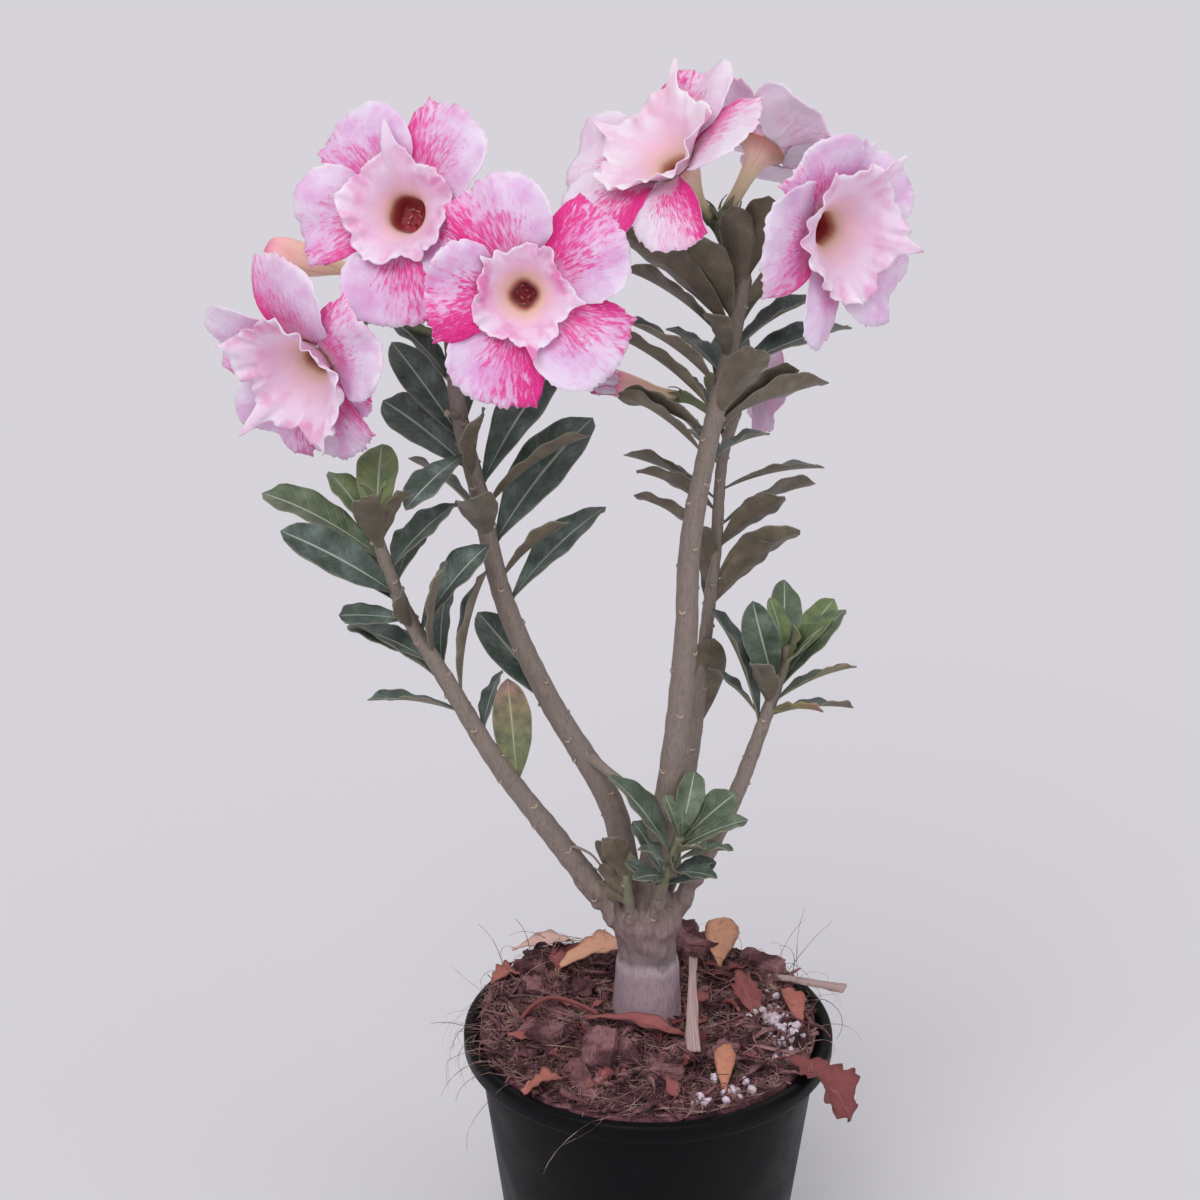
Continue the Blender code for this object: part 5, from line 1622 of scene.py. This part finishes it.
def addFunnel(bm, look, phase, place, shape):
    # the second flower inside the first: a throat that opens into a cup with five pointed lobes
    throat = smoothPath([Vector((r, 0, h)) for r, h in funnel["throat"]], 0.5)
    opens = (funnel["opens"][0], funnel["opens"][1] + shape.get("funnelRaise", 0))
    columns, rows = funnel["cells"]
    throatRows = round(rows * funnel["throatShare"])

    def rule(u, v):
        column = round(u * columns) % columns
        turn = math.tau - math.tau * column / columns  # backwards, so the upper face looks out of the flower
        row = round(v * rows)
        turned = shape.get("funnelTurn", 0) * petalCount / 360
        lobePlace = (petalCount * turn / math.tau - turned + 0.5) % petalCount
        f = lobePlace % 1
        breadth, spike = shape["lobes"][int(lobePlace)]
        if row <= throatRows:
            point = shareOf(throat, row / throatRows)[0]
            out, up = point.x, point.z
            deep = ease(1, 0.4, row / throatRows)
            out *= 1 + (shape.get("throatSize", 1) - 1) * deep
            out *= 1 + funnel["squareness"] * deep * math.cos(4 * turn + phase)
            return place @ Vector((out * math.cos(turn), out * math.sin(turn), up))
        share = (row - throatRows) / (rows - throatRows)
        swell = math.sin(math.pi * f) ** 0.6
        tipWidth = funnel["tipWidth"] * (0.8 + 0.2 * spike)
        tip = max(0, 1 - abs(f - funnel["tipPlace"]) / tipWidth) ** 1.35 * spike
        ring = Vector((3 * math.cos(turn), 3 * math.sin(turn), phase))
        tooth = grain((turn * 20, 0, phase), 0.9) + 0.6 * grain((turn * 20, 3, phase), 2.4)
        depth = funnel["notch"] + funnel["lobe"] * swell * breadth
        depth += funnel["tip"] * tip
        depth += funnel["teeth"] * tooth
        depth = (depth + funnel["rimWander"] * grain(ring, 1.2)) * shape.get("funnelSize", 1)
        reach = share * depth
        out, up, slope = curled(funnel["foot"], opens, reach)
        outer = ease(0.25, 1, share)
        broad, small = funnel["waves"]
        lift = outer * (broad * math.sin(3 * turn + phase) + small * math.sin(5 * turn + 1.3 * phase))
        crease = math.exp(-(((f - funnel["tipPlace"]) / funnel["creaseWidth"]) ** 2))
        lift += outer * funnel["crease"] * (crease - 0.3)
        lift += ease(0.5, 1, share) * funnel["ruffle"] * (
            1.5 * grain(ring * 2, 1, 1) + math.sin(funnel["pleatCount"] * turn + phase + reach / 4) * 0.4
        )
        lift += outer * funnel["dimples"] * grain((out * math.cos(turn), out * math.sin(turn), phase), 5)
        point = Vector((out - lift * math.sin(slope), 0, up + lift * math.cos(slope)))
        return place @ Vector((point.x * math.cos(turn), point.x * math.sin(turn), point.z))

    bendSheet(bm, funnel["cells"], rule, funnel["thickness"], look, 1)


def addTube(bm, outline, place, sides=28, twist=0, shut=0):
    # a flower tube or bud turned from its outline, closed at both ends
    path = smoothPath([Vector((radius, 0, height)) for radius, height in outline], 0.8)

    def rule(u, v):
        row = round(v * (len(path) - 1))
        turn = math.tau * round(u * sides) / sides
        radius, height = max(0, path[row].x), path[row].z
        if row in (0, len(path) - 1):
            radius = 0
        spiral = turn + math.radians(twist) * height
        ribs = 1 + 0.035 * math.cos(5 * turn) * ease(0, 12, height) * (1 if shut else ease(27, 22, height))
        return place @ Vector((radius * ribs * math.cos(spiral), radius * ribs * math.sin(spiral), height))

    bendSheet(bm, (sides, len(path) - 1), rule, None, (shut, 0.5, 0), 2)


def addAnthers(bm, place, phase):
    # ragged tails of the flower's anthers, low in the throat
    for k in range(antherCount):
        turn = math.tau * k / antherCount + phase
        out = 2.6 + 0.9 * math.sin(3 * k + phase)
        foot = Vector((out * math.cos(turn), out * math.sin(turn), 17))
        aside = Vector((math.cos(turn + 2) * 1.5, math.sin(turn + 2) * 1.5, 2.2 + math.sin(5 * k)))
        tip = foot * 1.05 + aside
        path = [place @ p for p in smoothPath([foot, foot.lerp(tip, 0.5) + Vector((0, 0, 0.6)), tip], 0.8)]
        rollTube(bm, path, [0.5 - 0.35 * n / (len(path) - 1) for n in range(len(path))], 5, (0.2, 0.5, 0), 2)


def flowerPlace(spec):
    # from a flower made along +Z to where it grows
    foot, along = flowerFoot(spec)
    aim = along.to_track_quat("Z", "Y").to_matrix().to_4x4()
    turn = aim @ Matrix.Rotation(math.radians(spec["roll"]), 4, "Z")
    return Matrix.Translation(foot) @ turn @ Matrix.Scale(spec.get("size", 1), 4)


# How each bloom differs: the strength of its magenta, its whiteness, the five lobes of its funnel as breadth
# and length of the point, and its petals in order round it. One flower has a small sixth petal.
bloomLooks = {
    "bloom_left_low": {
        "blaze": 1.0, "white": 0.1, "funnelSize": 1.35, "funnelRaise": 16, "funnelTurn": -8,
        "lobes": [(0.9, 0.4), (1.2, 0.3), (1.0, 0.9), (0.9, 2.2), (1.1, 0.9)],
        "petals": [
            {"blaze": 1.0, "length": 1.08, "turn": 10}, {"blaze": 0.9, "length": 1.18, "turn": -6},
            {"blaze": 0.8}, {"blaze": 1.0, "length": 0.95},
            {"blaze": 0.95, "length": 0.84, "width": 0.84, "turn": -8},
            {"blaze": 1.8, "length": 0.66, "width": 0.62, "turn": -34, "raise": -8},
        ],
    },
    "bloom_left_top": {
        "blaze": 1.0, "white": 0.1, "throatSize": 1.35, "funnelTurn": -16, "funnelSize": 0.98,
        "lobes": [(1.1, 0.3), (1.0, 2.8), (1.3, 0.2), (1.0, 0.6), (0.8, 0.8)],
        "petals": [
            {"blaze": 1.0, "turn": 9}, {"blaze": 0.85, "length": 0.93, "turn": 6},
            {"blaze": 0.95, "length": 0.9, "turn": -2}, {"blaze": 1.2, "turn": 10}, {"blaze": 1.3, "turn": 8},
        ],
    },
    "bloom_left_front": {
        "blaze": 1.2, "white": 0.0, "throatSize": 0.86, "funnelTurn": 33, "funnelSize": 0.82,
        "lobes": [(0.6, 0.9), (0.4, 1.4), (0.9, 0.4), (1.3, 1.7), (0.9, 1.8)],
        "petals": [
            {"blaze": 1.15, "length": 0.96}, {"blaze": 0.95}, {"blaze": 1.25, "length": 0.84, "raise": 16},
            {"blaze": 1.2, "length": 0.93}, {"blaze": 0.95, "length": 0.97},
        ],
    },
    "bloom_centre": {
        "blaze": 1.0, "white": 0.45, "funnelTurn": -1, "funnelSize": 1.12, "funnelRaise": 8,
        "lobes": [(0.8, 0.8), (1.2, 2.3), (1.0, 1.9), (1.2, 0.7), (0.8, 0.2)],
        "petals": [
            {"blaze": 0.9, "length": 0.95, "turn": -13}, {"blaze": 1.2, "length": 0.92, "turn": -16},
            {"blaze": 0.7, "length": 0.92, "turn": 18},
            {"blaze": 1.3}, {"blaze": 1.3, "length": 1.05, "width": 0.7, "turn": -18, "raise": -14},
        ],
    },
    "bloom_right": {
        "blaze": 0.85, "white": 0.1, "funnelSize": 1.3, "funnelTurn": 12, "funnelRaise": 6,
        "lobes": [(1.0, 1.8), (0.9, 1.5), (1.0, 0.3), (0.9, 0.3), (1.0, 1.6)],
        "petals": [
            {"blaze": 0.3, "length": 0.74}, {"blaze": 1.1, "length": 0.84, "turn": 2},
            {"blaze": 1.0, "length": 0.97, "width": 1.15, "turn": -11},
            {"blaze": 0.8, "width": 0.62, "turn": -14}, {"blaze": 0.4, "length": 0.9, "turn": -22},
        ],
    },
    "bloom_behind": {
        # its whiteness is set high partly as painted light, to lighten the backs of its petals where they
        # turn away from the light
        "blaze": 0.9, "white": 0.6, "tube": slimTube, "throatSize": 0.6, "funnelSize": 0.8,
        "lobes": [(1, 1)] * petalCount,
        "petals": [
            {"blaze": 1.2, "length": 0.8}, {"blaze": 1.8, "length": 0.72, "width": 0.8},
            {"length": 0.68, "width": 0.85}, {"length": 0.75, "width": 0.9}, {"length": 0.78},
        ],
    },
    "bloom_back": {
        "blaze": 1.8, "white": 0,
        "lobes": [(1, 1)] * petalCount,
        "petals": [{"length": 0.74, "width": 0.85}] * petalCount,
    },
}


def makeBloom(number, name, spec):
    own = bloomLooks[name]
    place = flowerPlace(spec)
    bm = newSheets()
    for k, shape in enumerate(own["petals"]):
        look = (own["blaze"] * shape.get("blaze", 1), (0.37 * k + 0.61 * number) % 1, own["white"])
        addPetal(bm, math.tau * k / petalCount, shape, look, 1.7 * k + 0.9 * number, place)
    addFunnel(bm, (own["blaze"], 0.5, own["white"]), 1.1 * number, place, own)
    addTube(bm, own.get("tube", tubeOutline), place)
    if "tube" not in own:
        addAnthers(bm, place, number)
    finishPiece(name + "_flower", bm, [petalMaterial, funnelMaterial, tubeMaterial], [name])


for bloomNumber, (bloomName, bloomSpec) in enumerate(blooms.items()):
    makeBloom(bloomNumber, bloomName, bloomSpec)
print("blooms made")


budShapes = {
    # radius and height, from the foot up
    "halfOpenTube": [
        (0.2, 0), (2.2, 0.2), (2.8, 10), (4.2, 16), (5.6, 23), (6.4, 29), (5.6, 30.4), (4, 30.4),
    ],
    "closedOutline": [
        (0.2, 0), (2.2, 0.2), (2.7, 9), (5.2, 18), (6.6, 26), (6.5, 32), (4.8, 36.5), (0.3, 38.5),
    ],
    "closedTwist": 2.6,
    "frillCount": 7,
    "frillLength": 13,
    "frillWidth": 8.5,
    "frillRadius": 5.2,
    "frillFoot": 27.5,
    "frillThickness": 0.4,
}


def makeHalfOpenBud():
    spec = buds["half_open_bud"]
    place = flowerPlace(spec)
    bm = newSheets()
    addTube(bm, budShapes["halfOpenTube"], place, 24, shut=1)
    for k in range(budShapes["frillCount"]):
        spin = Matrix.Rotation(math.tau * k / budShapes["frillCount"], 3, "Z")
        tall = budShapes["frillLength"] * (1 + 0.12 * math.sin(4 * k))

        def rule(u, v):
            across = (1 - 2 * u) * budShapes["frillWidth"] / 2 * (0.7 + 0.5 * math.sin(2.4 * v))
            jag = 1.6 * abs(math.sin(5 * u + k)) * ease(0.6, 1, v)
            out = budShapes["frillRadius"] + 1.6 * v * v + 0.5 * math.sin(3 * across + k) * v
            out -= 0.05 * across**2
            return place @ (spin @ Vector((out, across, budShapes["frillFoot"] + tall * v * 0.98 - jag)))

        bendSheet(bm, (10, 8), rule, budShapes["frillThickness"], (1.4, 0.1 + 0.13 * k, 0), 0)
    finishPiece("halfOpenBud", bm, [petalMaterial, funnelMaterial, tubeMaterial], ["half_open_bud"])


def makeClosedBud():
    bm = newSheets()
    addTube(bm, budShapes["closedOutline"], flowerPlace(buds["closed_bud"]), 30, budShapes["closedTwist"], 1)
    finishPiece("closedBud", bm, [petalMaterial, funnelMaterial, tubeMaterial], ["closed_bud"])


makeHalfOpenBud()
makeClosedBud()
print("buds made")


# Dead leaves and splinters on the mix

fallen = {
    # heading, rise, length, width, curl in degrees, tone from 0, rust, to 1, tan, then how torn and how
    # crumpled it is, and how far it lies from the model's own place
    "fallen_leaf_back_left": (12, 4, 27, 11, 30, 1.0, 0.06, 0.4, (-5, 5, -1.5)),
    "fallen_leaf_behind_trunk": (22, 12, 33, 16, 40, 0.78, 0.12, 0.7, (0, 9, 2)),
    "fallen_leaf_back_right": (82, 34, 24, 15, 24, 0.76, 0.12, 0.5, (-3, 4, 0)),
    "fallen_leaf_left": (40, 0, 15, 11, 70, 0.4, 0.4, 1.8, (-5, 5, 0)),
    "fallen_leaf_long": (346, -4, 44, 8, 35, 0.27, 0.12, 0.8, (4, 5, 0)),
    "fallen_leaf_right": (102, 12, 25, 10, 50, 0.42, 0.3, 1.2, (5, 7, 0)),
    "fallen_leaf_mid_right": (285, -14, 25, 12, 50, 0.18, 0.5, 2.2, (3, 5, 0)),
    "fallen_leaf_front_right": (88, 14, 26, 9, 30, 0.62, 0.12, 0.6, (-2, -1, 0)),
    "fallen_leaf_front_left": (20, 10, 17, 11, 70, 0.45, 0.5, 2.0, (0, -4, 0)),
    "fallen_leaf_on_rim": (331, -28, 42, 20, 90, 0.12, 0.75, 2.4, (4, 6, -17)),
}
dryThickness = 0.35
dryCells = (14, 44)
scraps = {
    "seed": 31,
    "count": 44,
    "reach": 61,
    "lengths": (4, 14),
    "widthShares": (0.35, 0.8),
    "tones": (0.0, 0.3),
    "bends": (10, 70),
    "crumple": 1.6,
    "torn": 0.6,
    "cells": (4, 7),
    # the dry stalk that arches up beside the long fallen leaf, and its radius
    "stalk": [(-52, -4, 133), (-47, -1, 138), (-39, 0, 141.5), (-29, -2, 140), (-20, -5, 137)],
    "stalkRadius": 0.9,
}


def makeDeadLeafMaterial():
    # A dried leaf: papery and matt, rust to tan, with a pale rib and dark blotches of decay. It is darker
    # towards its edges, partly from browning and partly as painted shade.
    material, tree, shader = newMaterial("dried leaf")
    place = addNode(tree, "TexCoord", {})
    record = addNode(tree, "Attribute", {}, attribute_name="look")
    look = addNode(tree, "SeparateColor", {"Color": record})
    flat = addNode(tree, "SeparateXYZ", {"Vector": place.outputs["UV"]})
    off = addNode(tree, "Math", {0: flat.outputs["X"], 1: 0.5}, operation="SUBTRACT")
    away = addNode(tree, "Math", {0: off}, operation="ABSOLUTE")
    blotch = addNode(
        tree, "TexNoise", {"Vector": place.outputs["Object"], "Scale": 240, "Detail": 5, "Roughness": 0.65}
    )  # 4 mm blotches
    tone = addNode(
        tree, "ValToRGB", {"Fac": look.outputs["Green"]},
        stops=[(0.0, "#68292D"), (0.3, "#9E5A59"), (0.45, "#AC675A"), (0.62, "#C4846A"), (0.76, "#D39C80"),
               (1.0, "#D6AFA4")]
    )
    blotched = addNode(tree, "ValToRGB", {"Fac": blotch}, stops=[(0.3, 0.5), (0.46, 0.95), (0.6, 1.0)])
    shaded = addNode(
        tree, "MixRGB", {"Fac": 0.8, "Color1": tone, "Color2": blotched}, blend_type="MULTIPLY"
    )
    rib = addNode(tree, "ValToRGB", {"Fac": away}, stops=[(0.01, 0.16), (0.03, 0.0)])
    ribbed = addNode(tree, "MixRGB", {"Fac": rib, "Color1": shaded, "Color2": "#C9A08A"})
    # darker towards the edges: partly browning, partly painted shade
    margin = addNode(tree, "Math", {0: blotch, 1: 0.3, 2: away}, operation="MULTIPLY_ADD")
    edgeBrowningAndShade = addNode(tree, "MapRange", {"Value": margin, "From Min": 0.5, "From Max": 0.68, "To Max": 0.6})
    color = addNode(tree, "MixRGB", {"Fac": edgeBrowningAndShade, "Color1": ribbed, "Color2": "#5E2E27"})
    bump = addNode(tree, "Bump", {"Height": blotch, "Strength": 0.5, "Distance": 0.0008})
    setInputs(tree, shader, {
        "Base Color": color,
        "Roughness": 0.78,
        "Normal": bump,
    })
    return material


def makeSplinterMaterial():
    # Split, weathered wood: silver-brown with a fine straight grain that stands up in ridges.
    material, tree, shader = newMaterial("weathered split wood")
    place = addNode(tree, "TexCoord", {})
    lengthways = addNode(tree, "Mapping", {"Vector": place.outputs["UV"], "Scale": (16, 1.2, 1)})
    fibres = addNode(
        tree, "TexNoise", {"Vector": lengthways, "Scale": 1, "Detail": 4, "Roughness": 0.7}
    )  # a line about every 0.4 mm
    color = addNode(
        tree, "ValToRGB", {"Fac": fibres},
        stops=[(0.3, "#6A4D4E"), (0.42, "#A38784"), (0.58, "#C9AFAC"), (0.75, "#DCC8C4")]
    )
    bump = addNode(tree, "Bump", {"Height": fibres, "Strength": 0.7, "Distance": 0.0008})
    setInputs(tree, shader, {
        "Base Color": color,
        "Roughness": 0.85,
        "Normal": bump,
    })
    return material


deadLeafMaterial = makeDeadLeafMaterial()
splinterMaterial = makeSplinterMaterial()


def restOn(bm, node, aside=(0, 0, 0)):
    # moves a shape made at the origin to the middle of a node, as high as the node and the heap below it
    low, high = (Vector(corner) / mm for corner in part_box(node))
    lowest = min(vert.co.z for vert in bm.verts)
    middle = (low + high) / 2
    spread = [[f(vert.co[k] for vert in bm.verts) for f in (min, max)] for k in (0, 1)]
    middle += Vector(aside)
    level = low.z + heapHeight(middle.x, middle.y) + aside[2]
    shift = Vector((middle.x - sum(spread[0]) / 2, middle.y - sum(spread[1]) / 2, level - lowest))
    bmesh.ops.translate(bm, verts=bm.verts, vec=shift)


def makeFallenLeaves():
    for k, (node, shape) in enumerate(fallen.items()):
        heading, rise, length, width, curl, tone, torn, crumple, aside = shape
        along = facing(heading, rise)
        bm = newSheets()
        addLeaf(
            bm, -along * length / 2, along, Vector((0, 0, 1)), length, curl, width / length, dryThickness,
            (tone, 0.1 * k, 0), crumple, torn, dryCells
        )
        restOn(bm, node, aside)
        finishPiece(node + "_dry", bm, [deadLeafMaterial], [node])


def makeScraps():
    # crumbled bits of older leaves among the husk, and a dry stalk
    bm = newSheets()
    draw = random.Random(scraps["seed"])
    for k in range(scraps["count"]):
        x, y = litterPlace(draw, scraps["reach"])
        along = facing(draw.uniform(0, 360), draw.uniform(-25, 30))
        length = draw.uniform(*scraps["lengths"])
        foot = Vector((x, y, mixHeight(x, y) + draw.uniform(1.2, 3))) - along * length / 2
        upper = Vector((draw.uniform(-0.5, 0.5), draw.uniform(-0.5, 0.5), 1))
        look = (draw.uniform(*scraps["tones"]), 0.07 * k % 1, 0)
        widthShare = draw.uniform(*scraps["widthShares"])
        bend = draw.uniform(*scraps["bends"])
        addLeaf(
            bm, foot, along, upper, length, bend, widthShare, dryThickness, look,
            scraps["crumple"], scraps["torn"], scraps["cells"]
        )
    path = smoothPath(scraps["stalk"], 1.5)
    rollTube(bm, path, [scraps["stalkRadius"]] * len(path), 8, (0.1, 0.5, 0))
    finishPiece("leafScraps", bm, [deadLeafMaterial])


splinters = {  # heading, tilt, length, width, thickness, and how far it lies from the model's own place
    "bark_strip_front": (91, -21, 48, 5.4, 1.6, (-1.2, -7.5, -1)),
    "bark_strip_right": (157, 4, 34, 5.4, 1.8, (8, 1, 1)),
}


def makeSplinters():
    for node, (heading, tilt, length, width, thickness, aside) in splinters.items():
        bm = newSheets()
        spin = Matrix.Rotation(math.radians(heading), 3, "Z") @ Matrix.Rotation(math.radians(tilt), 3, "Y")

        def rule(u, v):
            narrow = 1 - 0.55 * v
            frayed = 1 - 0.12 * abs(grain((u * 9, 0, heading), 1.3)) * ease(0.8, 1, v)
            ridges = 0.35 * grain((u * 9, v * 3, heading), 0.9)
            x = (v - 0.5) * length * frayed
            y = (0.5 - u) * width * narrow + 0.4 * math.sin(5 * v)
            return spin @ Vector((x, y, ridges + 0.4 * math.sin(3 * v)))

        bendSheet(bm, (12, 30), rule, thickness * 0.8)
        restOn(bm, node, aside)
        finishPiece(node + "_split", bm, [splinterMaterial], [node])


makeFallenLeaves()
makeScraps()
makeSplinters()
print("dead leaves and splinters made")
